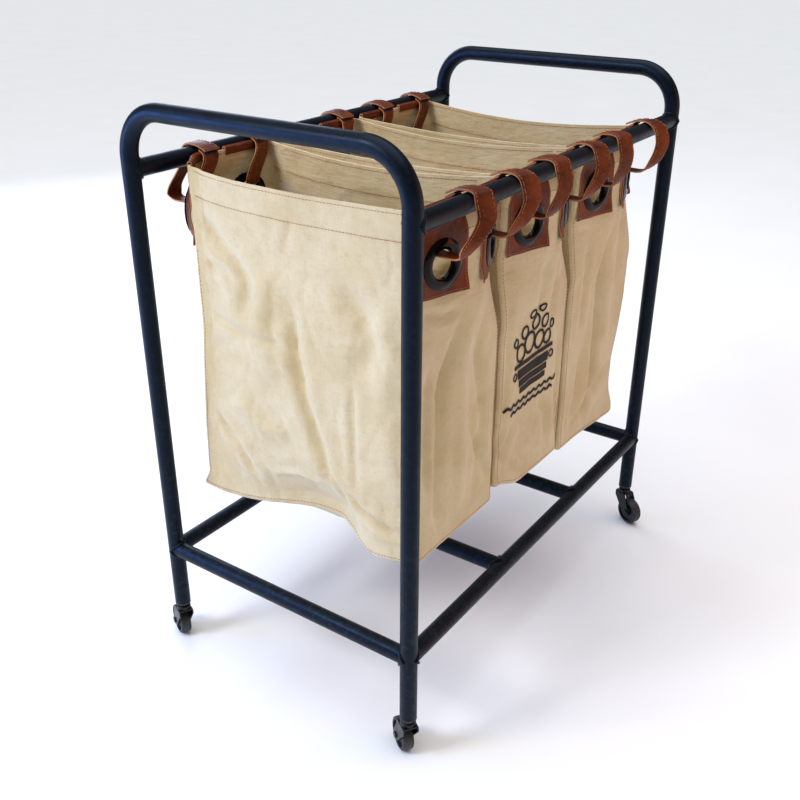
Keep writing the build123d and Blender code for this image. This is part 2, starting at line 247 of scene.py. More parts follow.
# %% Electrocoated steel
def make_black_steel():
    material, tree, shader, place = new_finish("black_electrocoated_steel")
    wear = stretch(tree, noise(tree, place, 5, 6, 0.7), 0.56, 0.7)
    tree.links.new(mix_colours(tree, wear, "#0B0D10", "#2B2E31"), shader.inputs["Base Color"])
    tree.links.new(
        stretch(tree, noise(tree, place, 8, 3), 0.3, 0.7, 0.28, 0.44), shader.inputs["Roughness"]
    )
    tree.links.new(bump(tree, noise(tree, place, 2.2, 3), 0.04), shader.inputs["Normal"])
    shader.inputs["Metallic"].default_value = 0.35
    return material


# %% [markdown]
# The wheels are moulded nylon. New nylon is waxy and nearly black; rolling scuffs the tread to a
# dull grey and presses grit into it.

# %% Nylon, ball steel and hook tape
def make_wheel_nylon():
    material, tree, shader, place = new_finish("moulded_black_nylon")
    scuffs = stretch(tree, noise(tree, place, 4, 8, 0.75), 0.48, 0.66)
    tree.links.new(mix_colours(tree, scuffs, "#101113", "#3A3B3E"), shader.inputs["Base Color"])
    shader.inputs["Roughness"].default_value = 0.55
    shader.inputs["IOR"].default_value = 1.53
    tree.links.new(bump(tree, noise(tree, place, 1.2, 4), 0.08), shader.inputs["Normal"])
    return material


def make_ball_steel():
    material, tree, shader, place = new_finish("polished_ball_steel")
    tree.links.new(
        mix_colours(tree, noise(tree, place, 2), "#9C9DA0", "#C9CACC"), shader.inputs["Base Color"]
    )
    shader.inputs["Metallic"].default_value = 1.0
    shader.inputs["Roughness"].default_value = 0.2
    return material


def make_hook_tape():
    material, tree, shader, place = new_finish("black_hook_tape")
    tufts = add_node(
        tree, "ShaderNodeTexVoronoi", {"Vector": place, "Scale": per_mm(1.4)}
    ).outputs["Distance"]
    tree.links.new(mix_colours(tree, tufts, "#0B0B0C", "#242427"), shader.inputs["Base Color"])
    shader.inputs["Roughness"].default_value = 0.9
    tree.links.new(bump(tree, tufts, 0.8), shader.inputs["Normal"])
    return material


# %% [markdown]
# The bags are washed cotton canvas in its natural colour. Three things make it cloth: the weave,
# two threads crossing every millimetre or so; the slubs, threads that are thicker or darker for a
# few centimetres; and the blotches and soft creases that washing leaves. The weave follows the
# cloth, so it reads the piece's own UV map, which is laid out in metres. A real thread spacing of
# 0.8 mm is too fine to show, so it is drawn at 1.6 mm.

# %% Canvas
weave_spacing = 1.6


def make_canvas():
    material, tree, shader, place = new_finish("washed_cotton_canvas")
    cloth = add_node(tree, "ShaderNodeUVMap", uv_map="cloth").outputs["UV"]
    threads = []
    for direction in ("X", "Y"):
        wave = add_node(
            tree,
            "ShaderNodeTexWave",
            {"Vector": cloth, "Scale": per_mm(weave_spacing) / (2 * math.pi),
             "Distortion": 1.2, "Detail": 1.0, "Detail Scale": 2.0},
            wave_type="BANDS",
            bands_direction=direction,
        ).outputs["Fac"]
        threads.append(wave)
    weave = add_node(tree, "ShaderNodeMath", {0: threads[0], 1: threads[1]}, operation="MAXIMUM")
    slubs = []
    for along in ((40, 1.5, 1), (1.5, 40, 1)):
        scaled = add_node(
            tree, "ShaderNodeMapping", {"Vector": cloth, "Scale": tuple(per_mm(v) for v in along)}
        ).outputs["Vector"]
        slubs.append(add_node(tree, "ShaderNodeTexNoise", {"Vector": scaled, "Scale": 1.0}).outputs["Fac"])
    slub = add_node(tree, "ShaderNodeMath", {0: slubs[0], 1: slubs[1]}, operation="MULTIPLY").outputs[0]
    blotches = stretch(tree, noise(tree, place, 90, 5, 0.6), 0.35, 0.7)
    tone = mix_colours(tree, blotches, "#D9C69E", "#CBB486")
    tone = mix_colours(tree, stretch(tree, slub, 0.22, 0.44, 0.0, 0.22), tone, "#BEA57C")
    stains = stretch(tree, noise(tree, place, 14, 6, 0.7), 0.55, 0.8, 0, 0.35)
    tone = mix_colours(tree, stains, tone, "#AE8F62")
    tree.links.new(tone, shader.inputs["Base Color"])
    shader.inputs["Roughness"].default_value = 0.88
    shader.inputs["Sheen Weight"].default_value = 0.25
    shader.inputs["Sheen Roughness"].default_value = 0.5
    shader.inputs["Specular IOR Level"].default_value = 0.25
    rubbed_map = add_node(
        tree, "ShaderNodeMapping",
        {"Vector": cloth, "Rotation": (0, 0, math.radians(-38)), "Scale": (per_mm(26), per_mm(7), 1)},
    ).outputs["Vector"]
    rubbed = add_node(
        tree, "ShaderNodeTexNoise", {"Vector": rubbed_map, "Scale": 1.0, "Detail": 3.0, "Distortion": 0.6}
    ).outputs["Fac"]
    creases = bump(tree, rubbed, 1.3, bump(tree, noise(tree, place, 30, 3, 0.55), 3.0))
    crumple = bump(tree, noise(tree, place, 7, 3, 0.6), 0.5, creases)
    tree.links.new(bump(tree, weave.outputs[0], 0.12, crumple), shader.inputs["Normal"])
    return material


# %% [markdown]
# The leather is waxed pull-up hide. Where it is bent or rubbed the wax moves away and the brown
# turns lighter and greyer; in the hollows it stays dark and red. Pores give a fine pebble, and
# the cut edges show the pale, fibrous middle of the hide.

# %% Leather
def make_leather():
    material, tree, shader, place = new_finish("waxed_pull_up_leather")
    cloudy = stretch(tree, noise(tree, place, 34, 5, 0.6), 0.32, 0.68)
    tone = mix_colours(tree, cloudy, "#3E1405", "#79330D")
    rubbed = stretch(tree, noise(tree, place, 11, 7, 0.7), 0.52, 0.72, 0, 0.65)
    tone = mix_colours(tree, rubbed, tone, "#6E3A20")
    scratch_map = add_node(
        tree, "ShaderNodeMapping",
        {"Vector": place, "Rotation": (0.4, 0.7, 0.2), "Scale": (per_mm(30), per_mm(2), per_mm(2))},
    ).outputs["Vector"]
    scratches = add_node(tree, "ShaderNodeTexNoise", {"Vector": scratch_map, "Scale": 1.0, "Detail": 3.0})
    tone = mix_colours(
        tree, stretch(tree, scratches.outputs["Fac"], 0.62, 0.7, 0, 0.45), tone, "#9A5F3E"
    )
    tree.links.new(tone, shader.inputs["Base Color"])
    tree.links.new(stretch(tree, cloudy, 0, 1, 0.36, 0.55), shader.inputs["Roughness"])
    shader.inputs["Specular IOR Level"].default_value = 0.2
    pores = add_node(tree, "ShaderNodeTexVoronoi", {"Vector": place, "Scale": per_mm(1.3)})
    folds = bump(tree, noise(tree, place, 9, 4), 0.5)
    tree.links.new(bump(tree, pores.outputs["Distance"], 0.12, folds), shader.inputs["Normal"])
    return material


def make_raw_edge():
    material, tree, shader, place = new_finish("raw_cut_leather_edge")
    fibres = noise(tree, place, 1.2, 4, 0.7)
    tree.links.new(mix_colours(tree, fibres, "#A5602F", "#D3966B"), shader.inputs["Base Color"])
    shader.inputs["Roughness"].default_value = 0.85
    tree.links.new(bump(tree, fibres, 0.3), shader.inputs["Normal"])
    return material


# %% [markdown]
# The eyelets are moulded in a glossy resin, so dark a brown that it looks black until light falls
# on a rim. Thread is waxed polyester, laid in a twist. The mark on the middle bag is stencilled in
# black ink that sinks into the weave and leaves specks of cloth bare.

# %% Eyelet resin, thread and ink
def make_eyelet_resin():
    material, tree, shader, place = new_finish("dark_brown_eyelet_resin")
    tree.links.new(
        mix_colours(tree, noise(tree, place, 12, 3), "#060302", "#120705"), shader.inputs["Base Color"]
    )
    tree.links.new(
        stretch(tree, noise(tree, place, 6, 5), 0.3, 0.7, 0.10, 0.22), shader.inputs["Roughness"]
    )
    shader.inputs["Specular IOR Level"].default_value = 0.16
    tree.links.new(bump(tree, noise(tree, place, 10, 2), 0.05), shader.inputs["Normal"])
    return material


def make_thread(name, dark, light):
    material, tree, shader, place = new_finish(name)
    tree.links.new(
        mix_colours(tree, noise(tree, place, 1.0, 2), dark, light), shader.inputs["Base Color"]
    )
    shader.inputs["Roughness"].default_value = 0.6
    tree.links.new(bump(tree, noise(tree, place, 0.5, 1), 0.1), shader.inputs["Normal"])
    return material


def make_ink():
    material, tree, shader, place = new_finish("black_stencil_ink")
    bare = stretch(tree, noise(tree, place, 3, 8, 0.8), 0.58, 0.66)
    tree.links.new(mix_colours(tree, bare, "#1A1613", "#4A3D2E"), shader.inputs["Base Color"])
    shader.inputs["Roughness"].default_value = 0.85
    tree.links.new(bump(tree, noise(tree, place, 1.6, 2), 0.12), shader.inputs["Normal"])
    return material


def make_floor_paint():
    material, tree, shader, place = new_finish("matt_white_floor_paint")
    tree.links.new(
        mix_colours(tree, noise(tree, place, 300, 3), "#EFEFED", "#F6F6F4"), shader.inputs["Base Color"]
    )
    shader.inputs["Roughness"].default_value = 0.8
    return material


powder_coat = make_powder_coat()
black_steel = make_black_steel()
wheel_nylon = make_wheel_nylon()
ball_steel = make_ball_steel()
hook_tape = make_hook_tape()
canvas = make_canvas()
leather = make_leather()
raw_edge = make_raw_edge()
eyelet_resin = make_eyelet_resin()
leather_thread = make_thread("rust_waxed_thread", "#8F4A22", "#C97C45")
canvas_thread = make_thread("tan_waxed_thread", "#9A6233", "#BE8850")
ink = make_ink()
floor.data.materials.append(make_floor_paint())

# %% [markdown]
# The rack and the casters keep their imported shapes. Only the finish of each node changes.

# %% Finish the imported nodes
finish_by_name = {
    "end_hoop": powder_coat,
    "upper_rail": powder_coat,
    "lower_rail": powder_coat,
    "lower_end_rail": powder_coat,
    "cross_bar": powder_coat,
    "stem_socket": wheel_nylon,
    "caster_stem": black_steel,
    "swivel_cap": black_steel,
    "bearing_balls": ball_steel,
    "fork": black_steel,
    "axle": black_steel,
    "wheel": wheel_nylon,
}
for node_name, node_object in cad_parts.items():
    for start, material in finish_by_name.items():
        if node_name.startswith(start):
            node_object.data.materials.clear()
            node_object.data.materials.append(material)

# %% [markdown]
# ## Weld beads
# Every rail is welded all round where it meets a leg. A bead is a ring of the tube's size that
# has been pushed against the other tube, so it starts as a torus round the rail's end, and each
# of its points slides along the rail until it rests on the crossing tube.

# %% Weld beads
tube_radius = 12.5
bead_radius = 3.2


def deselect():
    """Leave edit mode if needed and select nothing."""
    if bpy.context.object and bpy.context.object.mode != "OBJECT":
        bpy.ops.object.mode_set(mode="OBJECT")
    bpy.ops.object.select_all(action="DESELECT")


def settle(piece):
    """Put a finished piece's place into its mesh, so that its object sits at the origin."""
    piece.data.transform(piece.matrix_world)
    piece.matrix_world = Matrix.Identity(4)


def weld_bead(name, centre, away):
    """Make the bead of a tube that leaves centre in the direction away, on an upright or long tube."""
    deselect()
    bpy.ops.mesh.primitive_torus_add(
        major_radius=tube_radius * MM,
        minor_radius=bead_radius * MM,
        major_segments=48,
        minor_segments=10,
    )
    bead = bpy.context.active_object
    bead.name = name
    random.seed(name)
    phase = random.uniform(0, 6)
    for vertex in bead.data.vertices:
        x, y, z = vertex.co
        ring = math.hypot(x, y)
        around = math.atan2(y, x)
        ripple = 1 + 0.10 * math.sin(23 * around + phase)
        mid_x, mid_y = (tube_radius * MM * c / ring for c in (x, y))
        x, y = mid_x + (x - mid_x) * ripple, mid_y + (y - mid_y) * ripple
        slide = abs(mid_y) * 1.02
        vertex.co = (x, y, z * ripple + slide)
    upright = Vector((0, 0, 1))
    across = away.cross(upright) if crossing_is_upright(centre) else upright
    along_other = away.cross(across)
    frame_axes = Matrix((across, along_other, away)).transposed().to_4x4()
    bead.matrix_world = Matrix.Translation(centre) @ frame_axes
    settle(bead)
    bpy.ops.object.shade_smooth()
    bead.data.materials.append(powder_coat)
    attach(bead, "rack")
    return bead


def crossing_is_upright(centre):
    """A joint on a leg lies at the rack's ends; a cross bar's joint lies between them."""
    leg_x = max(abs(v) for v in (left_x, right_x))
    return abs(abs(centre.x) - leg_x) < 0.001


left_x = sum(v.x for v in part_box("end_hoop_left")) / 2
right_x = sum(v.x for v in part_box("end_hoop_right")) / 2
joints_made = 0
for rail_name in ("upper_rail_front", "upper_rail_rear", "lower_rail_front", "lower_rail_rear"):
    low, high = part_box(rail_name)
    middle = (low + high) / 2
    for end_x, direction in ((left_x, 1), (right_x, -1)):
        weld_bead(
            f"weld_{rail_name}_{'left' if direction > 0 else 'right'}",
            Vector((end_x, middle.y, middle.z)),
            Vector((direction, 0, 0)),
        )
        joints_made += 1
rail_y = abs((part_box("upper_rail_front")[0].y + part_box("upper_rail_front")[1].y) / 2)
for rail_name in ("lower_end_rail_left", "lower_end_rail_right", "cross_bar_left", "cross_bar_right"):
    low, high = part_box(rail_name)
    middle = (low + high) / 2
    for end_y, direction in ((-rail_y, 1), (rail_y, -1)):
        weld_bead(
            f"weld_{rail_name}_{'front' if direction > 0 else 'rear'}",
            Vector((middle.x, end_y, middle.z)),
            Vector((0, direction, 0)),
        )
        joints_made += 1
print("weld beads", joints_made)

# %% [markdown]
# ## The shape of a hung bag
# A canvas bag hung from eight straps isn't a box. The straps hold the cloth at the eyelets, the
# rail keeps the rim straight, and below it each wall swings out between its two eyelets and falls
# back at the corners. So the bag starts as a box with many small faces, and every point of it is
# moved by one function, as a sculptor would push it: `hang` takes a point of the flat, tailored
# bag and gives the place where the cloth hangs. Because it works for any point, the same function
# later puts the stitches, patches, eyelets and the printed mark exactly on the cloth.

# %% Sizes read from the frame
sides = ("left", "middle", "right")
bag_low, bag_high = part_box("bag_left")
half_width = (bag_high.x - bag_low.x) / 2 / MM
half_length = (bag_high.y - bag_low.y) / 2 / MM
rim_height = bag_high.z / MM
base_height = bag_low.z / MM
bag_middle = {side: sum(v.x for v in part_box(f"bag_{side}")) / 2 / MM for side in sides}
rail_height = sum(v.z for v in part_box("upper_rail_front")) / 2 / MM
rail_reach = rail_y / MM
eyelet_offset = 56
eyelet_height = 722
patch_half = 42
patch_bottom = 681
hem_depth = 38
print("bag", half_width * 2, half_length * 2, rim_height - base_height, bag_middle)

# %% [markdown]
# Three small tools do the sculpting: `ease` fades an effect in between two values, `stroke` is a
# crease or a ridge drawn along a few points on a wall, and `crumple` is the fine, irregular relief
# that washed canvas keeps everywhere.

# %% Sculpting tools
def ease(value, start, stop):
    """Go smoothly from 0 at start to 1 at stop, whichever is larger."""
    t = min(1.0, max(0.0, (value - start) / (stop - start)))
    return t * t * (3 - 2 * t)


def stroke(across, up, points, width, depth):
    """Depth of a crease at a point of a wall. It fades at its ends and has a soft lip beside it."""
    best = None
    walked = 0.0
    total = sum(math.dist(a, b) for a, b in zip(points, points[1:]))
    for a, b in zip(points, points[1:]):
        run = math.dist(a, b)
        t = ((across - a[0]) * (b[0] - a[0]) + (up - a[1]) * (b[1] - a[1])) / (run * run)
        t = min(1.0, max(0.0, t))
        gap = math.hypot(across - a[0] - t * (b[0] - a[0]), up - a[1] - t * (b[1] - a[1]))
        if best is None or gap < best[0]:
            best = (gap, (walked + t * run) / total)
        walked += run
    gap, place = best
    if gap > 5 * width:
        return 0.0
    fade = ease(place, -0.02, 0.22) * ease(place, 1.02, 0.78)
    valley = math.exp(-((gap / width) ** 2))
    lip = 0.35 * math.exp(-(((gap - 2.2 * width) / (1.3 * width)) ** 2))
    return 1.35 * depth * fade * (valley - lip)


def crumple(point, seed):
    """Irregular relief in millimetres: broad swells, then creases, then a fine ripple."""
    moved = point + Vector((seed * 311.7, seed * 93.1, seed * 57.9))
    swell = noise_at(moved / 85)
    crease = 1 - abs(noise_at(Vector((moved.x, moved.y, moved.z * 0.6)) / 52)) * 3.2
    ripple = noise_at(moved / 15)
    return 2.4 * swell - 1.3 * max(0.0, crease) ** 3 + 0.35 * ripple


def noise_at(point):
    return mathutils.noise.noise(point)


def soft_least(first, second, rounding):
    """The smaller of two values, with a rounded change from one to the other."""
    least = min(first, second)
    return least - rounding * math.log(
        math.exp(-(first - least) / rounding) + math.exp(-(second - least) / rounding)
    )


# %% [markdown]
# Every wall has its own creases. The near end shows a long fold from its middle down to a pinch in
# the bottom edge, with short tucks fanning out of it. The front walls show upright folds under the
# patches. Positions are across and up the wall, in millimetres; a minus depth goes inwards.

# %% Creases of each wall
near_end_strokes = [
    ([(165, 735), (100, 688), (76, 650), (88, 590)], 13, -7.0),
    ([(162, 668), (116, 662), (96, 640)], 7, -3.2),
    ([(165, 598), (92, 575), (25, 578), (-10, 565)], 7, -3.4),
    ([(-6, 650), (-8, 567), (-24, 490), (-50, 415), (-60, 345)], 9, -6.0),
    ([(8, 705), (-15, 765)], 7, -2.0),
    ([(-80, 690), (-125, 648), (-140, 610), (-112, 560)], 17, -6.5),
    ([(170, 432), (115, 388), (80, 325)], 7, -4.5),
    ([(-104, 560), (-106, 430), (-110, 375)], 6, -3.0),
    ([(-56, 410), (-78, 360), (-92, 325)], 6, -4.5),
    ([(-70, 385), (-118, 350), (-190, 325)], 7, -6.0),
    ([(60, 352), (0, 368), (-48, 362)], 7, 3.5),
    ([(120, 470), (60, 430), (10, 440)], 15, 4.0),
    ([(-170, 700), (-160, 560), (-175, 420)], 22, 4.0),
    ([(30, 690), (50, 600), (40, 500)], 24, 4.5),
]
front_strokes = {
    "left": [
        ([(-15, 665), (-24, 600), (-47, 545), (-49, 430), (-42, 300)], 9, -7.5),
        ([(-85, 664), (-50, 650), (-18, 658)], 7, -4.0),
        ([(8, 640), (-2, 540), (4, 400), (0, 300)], 20, 7.0),
        ([(60, 640), (48, 560), (70, 470), (52, 330)], 8, -4.5),
        ([(-78, 600), (-84, 480), (-74, 380)], 8, -3.5),
        ([(30, 480), (66, 400), (88, 330)], 8, -4.0),
    ],
    "middle": [
        ([(-90, 640), (-82, 520), (-95, 400)], 7, -3.5),
        ([(-10, 660), (-2, 610), (8, 560)], 8, -4.5),
        ([(40, 650), (52, 600), (46, 540)], 8, -3.5),
        ([(-98, 420), (-112, 350)], 8, -4.0),
        ([(-58, 410), (-80, 370), (-100, 325)], 8, -5.5),
        ([(-70, 335), (-30, 318), (10, 306)], 8, 4.0),
        ([(20, 430), (50, 380), (62, 310)], 9, -3.5),
        ([(84, 520), (88, 400), (98, 300)], 9, -4.5),
    ],
    "right": [
        ([(7, 660), (7, 526), (8, 385), (-20, 335), (-90, 295)], 9, -7.0),
        ([(93, 385), (-5, 345), (-28, 295)], 10, -5.5),
        ([(-60, 650), (-52, 560), (-62, 470)], 8, -4.0),
        ([(60, 660), (66, 600), (58, 520)], 9, -4.5),
        ([(40, 600), (36, 500), (50, 420)], 17, 5.5),
        ([(-40, 460), (-50, 380), (-72, 320)], 9, -4.0),
    ],
}
rear_strokes = [
    ([(-15, 650), (-24, 540), (-40, 440), (-34, 320)], 10, -6.0),
    ([(40, 660), (52, 560), (40, 430), (58, 320)], 9, -5.0),
    ([(5, 640), (0, 500), (12, 380)], 20, 5.5),
    ([(-80, 560), (-50, 480), (-62, 380)], 9, -4.0),
    ([(80, 500), (48, 420), (20, 330)], 9, -4.0),
]
inner_end_strokes = [
    ([(150, 700), (90, 640), (70, 540)], 12, -5.0),
    ([(-140, 700), (-100, 620), (-108, 500)], 12, -5.0),
    ([(10, 720), (0, 600), (22, 470), (0, 340)], 11, -5.5),
    ([(160, 500), (90, 430), (60, 330)], 9, -4.0),
    ([(-160, 480), (-90, 420), (-50, 320)], 9, -4.0),
]

# %% [markdown]
# `turns` says how far, in degrees, each patch turns away from the rail's line. The left patches
# of the front look a little towards the near end, the right ones look away from it.

# %% How the patches turn
turns = {
    "front": {"left": (13, 21), "middle": (12, 22), "right": (11, 18)},
    "rear": {"left": (22, 14), "middle": (12, 12), "right": (10, 16)},
}


def swing_out(side, wall, across, up):
    """How far a front or rear wall stands outside its flat place."""
    left_turn, right_turn = (math.tan(math.radians(a)) for a in turns[wall][side])
    # The rail holds the rim straight, and the turn dies out towards the bottom of the bag.
    strength = (1 - 0.86 * ease(up, 752, rim_height - 8)) * ease(up, 560, 684)
    flare = 1 + 0.30 * ease(up, 715, 675)
    from_right = -right_turn * strength * flare * (across - eyelet_offset)
    if wall == "rear" and side == "left":
        strength = 0.08 + 0.92 * ease(up, 330, 600)
        flare = 1
    from_left = left_turn * strength * flare * (across + eyelet_offset)
    out = soft_least(from_left, from_right, 4.0)
    room = 1.2 + 11.5 * ease(up, 782, 755)
    return soft_least(out, room, 1.0)


def eyelet_plane(side, wall, which):
    """Outward offset and slopes of the flat disc that an eyelet clamps."""
    across = which * eyelet_offset
    step = 12
    slope_across = (
        swing_out(side, wall, across + step, eyelet_height)
        - swing_out(side, wall, across - step, eyelet_height)
    ) / (2 * step)
    slope_up = (
        swing_out(side, wall, across, eyelet_height + step)
        - swing_out(side, wall, across, eyelet_height - step)
    ) / (2 * step)
    return swing_out(side, wall, across, eyelet_height), slope_across, slope_up


planes = {
    (side, wall, which): eyelet_plane(side, wall, which)
    for side in sides
    for wall in ("front", "rear")
    for which in (-1, 1)
}


def long_wall_out(side, wall, across, up):
    """Outward offset of a front or rear wall: swing, creases, crumple, and flat eyelet discs."""
    out = swing_out(side, wall, across, up)
    strokes = front_strokes[side] if wall == "front" else rear_strokes
    relief = sum(stroke(across, up, *made) for made in strokes)
    sign = -1 if wall == "front" else 1
    seed = 1 + sides.index(side) + (3 if wall == "rear" else 0)
    relief += crumple(Vector((across, sign * half_length, up)), seed)
    on_patch = 0.0
    for which in (-1, 1):
        beside = abs(across - which * eyelet_offset)
        on_patch = max(on_patch, ease(beside, patch_half + 8, patch_half - 2) * ease(up, 668, 684))
    held = max(on_patch, 0.65 * ease(up, rim_height - hem_depth - 4, rim_height - hem_depth + 8))
    out += relief * (1 - held) * (0.25 + 0.75 * ease(half_width - abs(across), 0, 16))
    if wall == "rear" and side == "left":
        out -= 14 * ease(across, -30, -half_width)
    for which in (-1, 1):
        reach = math.hypot(across - which * eyelet_offset, up - eyelet_height)
        flat = ease(reach, 47, 35)
        if flat > 0:
            start, slope_across, slope_up = planes[(side, wall, which)]
            disc = (
                start
                + slope_across * (across - which * eyelet_offset)
                + slope_up * (up - eyelet_height)
            )
            out = out * (1 - flat) + disc * flat
    return min(out, 15 if up < 765 else out)


def end_wall_out(side, end, across, up):
    """Outward offset of a wall at a bag's left (-1) or right (1) end."""
    near = side == "left" and end < 0
    strokes = near_end_strokes if near else inner_end_strokes
    mirrored = across if near or end < 0 else -across
    relief = sum(stroke(mirrored, up, *made) for made in strokes)
    relief += 1.3 * crumple(Vector((end * half_width, across, up)), 7 + sides.index(side))
    relief *= 0.25 + 0.75 * ease(half_length - abs(across), 0, 16)
    out = relief * (1 - 0.6 * ease(up, rim_height - hem_depth - 4, rim_height - hem_depth + 8))
    # Cloth between two straps hangs slack, so an end wall dips inwards along its middle.
    slack = math.cos(across / half_length * math.pi / 2)
    out -= (6 if near else 12) * slack * ease(up, base_height, 640)
    if near:
        pinch = ease(across, -150, -42) * ease(across, 190, -30)
        out -= 44 * pinch * ease(up, 400, base_height) + 8 * pinch * ease(up, 520, 400)
        out -= 14 * ease(across, 60, half_length)
        return min(out, 8.0)
    if side == "right" and end > 0:
        at_front = ease(across, 60, -half_length)
        out += 19 * at_front * ease(up, 760, 640) * ease(up, 400, 500)
        out -= 9 * at_front * ease(up, 440, 385) * ease(up, 310, 360)
        out += 15 * at_front * ease(up, 330, 290)
        return min(out, 20.0)
    # Neighbouring bags nearly touch, so these walls only ever lean inwards.
    return min(out - 1.5, 0.0)


def drop(side, across_x, across_y, up):
    """How far a point sinks: the rim sags between straps and the base sags in its middle."""
    height = ease(up, base_height, rim_height)
    slack = math.cos(across_y / half_length * math.pi / 2)
    near_end = ease(across_x, 30, -half_width)
    far_end = ease(across_x, -30, half_width)
    rim_sag = (7 if side == "left" else 11) * slack * near_end + 12 * slack * far_end
    sink = rim_sag * height ** 2
    at_base = ease(up, 430, base_height)
    middle = math.cos(across_x / half_width * math.pi / 2) * slack
    sink += 9 * at_base * middle
    if side == "left":
        pinch = ease(across_y, -150, -42) * ease(across_y, 190, -30) * near_end
        sink -= 24 * pinch * ease(up, 400, base_height)
        sink -= 8 * ease(across_y, 60, 200) * near_end * at_base
    at_front = at_base * ease(across_y, -60, -half_length)
    if side == "left":
        sink -= (21 + 2 * ease(across_x, -105, 105)) * at_front
    if side == "middle":
        sink -= (12 + 26 * ease(across_x, -20, -105)) * at_front
    if side == "right":
        sink += (-2 + 14 * ease(across_x, -60, 105)) * at_front
    return sink


def hang(side, point):
    """Move a point of the flat bag, in millimetres from the bag's middle line, to where it hangs."""
    x, y, z = point
    wall = "front" if y < 0 else "rear"
    sign = -1 if y < 0 else 1
    end = -1 if x < 0 else 1
    near_long = ease(abs(y), half_length - 75, half_length - 2)
    near_short = ease(abs(x), half_width - 70, half_width - 2)
    above = ease(z, base_height - 4, base_height + 30)
    shift_y = sign * long_wall_out(side, wall, x, z) * near_long
    shift_x = end * end_wall_out(side, end, y, z) * near_short
    # Creases of one wall die out where it is sewn to the next, and at the base.
    lift = 0.0
    if z < base_height + 3:
        lift = 0.8 * crumple(Vector((x, y, base_height)), 12 + sides.index(side))
        lift *= ease(abs(x), half_width, half_width - 20) * ease(abs(y), half_length, half_length - 20)
    shift_y *= 0.35 + 0.65 * above
    shift_x *= 0.75 + 0.25 * above
    return Vector((
        bag_middle[side] + x + shift_x,
        y + shift_y,
        z - drop(side, x, y, z) + lift,
    ))


def on_wall(side, wall, across, up, out=0.0):
    """Place and outward direction on a hung wall. across runs along the wall, out is above the cloth."""
    def flat(a, u):
        if wall in ("front", "rear"):
            return (a, -half_length if wall == "front" else half_length, u)
        return (-half_width if wall == "near" else half_width, a, u)

    here = hang(side, flat(across, up))
    along = hang(side, flat(across + 1.5, up)) - hang(side, flat(across - 1.5, up))
    rise = hang(side, flat(across, up + 1.5)) - hang(side, flat(across, up - 1.5))
    normal = along.cross(rise).normalized()
    if wall in ("rear", "near"):
        normal = -normal
    return here + normal * out, normal, along.normalized(), rise.normalized()


# %% [markdown]
# ## Canvas shells
# Each bag is one primitive cube at the bag's size. Its lid is deleted, its upright and bottom edges
# get a small bevel, and it is cut into narrow strips both ways with bisect. Then every
# point is hung, round holes are opened where the eyelets clamp the cloth, and Solidify gives it the
# thickness of canvas, doubled in the hem.

# %% One canvas shell
cloth_half = 0.8
strip = 4.6
hole_radius = 23


def cut_strips(axis, low, high, step):
    """Bisect everything with planes a step apart along one axis."""
    count = max(1, round((high - low) / step))
    normal = [0, 0, 0]
    normal[axis] = 1
    for number in range(1, count):
        place = [0, 0, 0]
        place[axis] = (low + (high - low) * number / count) * MM
        bpy.ops.mesh.select_all(action="SELECT")
        bpy.ops.mesh.bisect(plane_co=place, plane_no=normal)


def canvas_shell(side):
    deselect()
    bpy.ops.mesh.primitive_cube_add(
        size=1,
        location=(0, 0, (rim_height + base_height) / 2 * MM),
        scale=(2 * half_width * MM, 2 * half_length * MM, (rim_height - base_height) * MM),
    )
    shell = bpy.context.active_object
    shell.name = f"canvas_bag_{side}"
    bpy.ops.object.transform_apply(location=True, rotation=True, scale=True)
    bpy.ops.object.mode_set(mode="EDIT")
    bpy.ops.mesh.select_mode(type="FACE")
    bpy.ops.mesh.select_all(action="DESELECT")
    work = bmesh.from_edit_mesh(shell.data)
    for face in work.faces:
        face.select = face.normal.z > 0.9
    bpy.ops.mesh.delete(type="FACE")
    bpy.ops.mesh.select_mode(type="EDGE")
    bpy.ops.mesh.select_all(action="DESELECT")
    work = bmesh.from_edit_mesh(shell.data)
    for edge in work.edges:
        upright = abs(edge.verts[0].co.z - edge.verts[1].co.z) > 0.1
        bottom = all(v.co.z < (base_height + 1) * MM for v in edge.verts)
        edge.select = upright or bottom
    bmesh.update_edit_mesh(shell.data)
    bpy.ops.mesh.bevel(offset=5 * MM, segments=2, affect="EDGES")
    cut_strips(0, -half_width, half_width, strip)
    cut_strips(1, -half_length, half_length, strip)
    cut_strips(2, base_height, rim_height, strip)
    bpy.ops.object.mode_set(mode="OBJECT")
    lay_cloth_map(shell.data)
    open_eyelet_holes(shell.data)
    for vertex in shell.data.vertices:
        vertex.co = hang(side, vertex.co / MM) * MM
    hem = shell.vertex_groups.new(name="hem")
    return shell, hem


def lay_cloth_map(mesh):
    """Lay the weave along each wall, in metres, in a UV map of its own."""
    layer = mesh.uv_layers.new(name="cloth")
    for face in mesh.polygons:
        normal = face.normal
        for corner in face.loop_indices:
            x, y, z = mesh.vertices[mesh.loops[corner].vertex_index].co
            if abs(normal.z) > 0.7:
                layer.data[corner].uv = (x, y)
            elif abs(normal.y) > abs(normal.x):
                layer.data[corner].uv = (x, z)
            else:
                layer.data[corner].uv = (y, z)


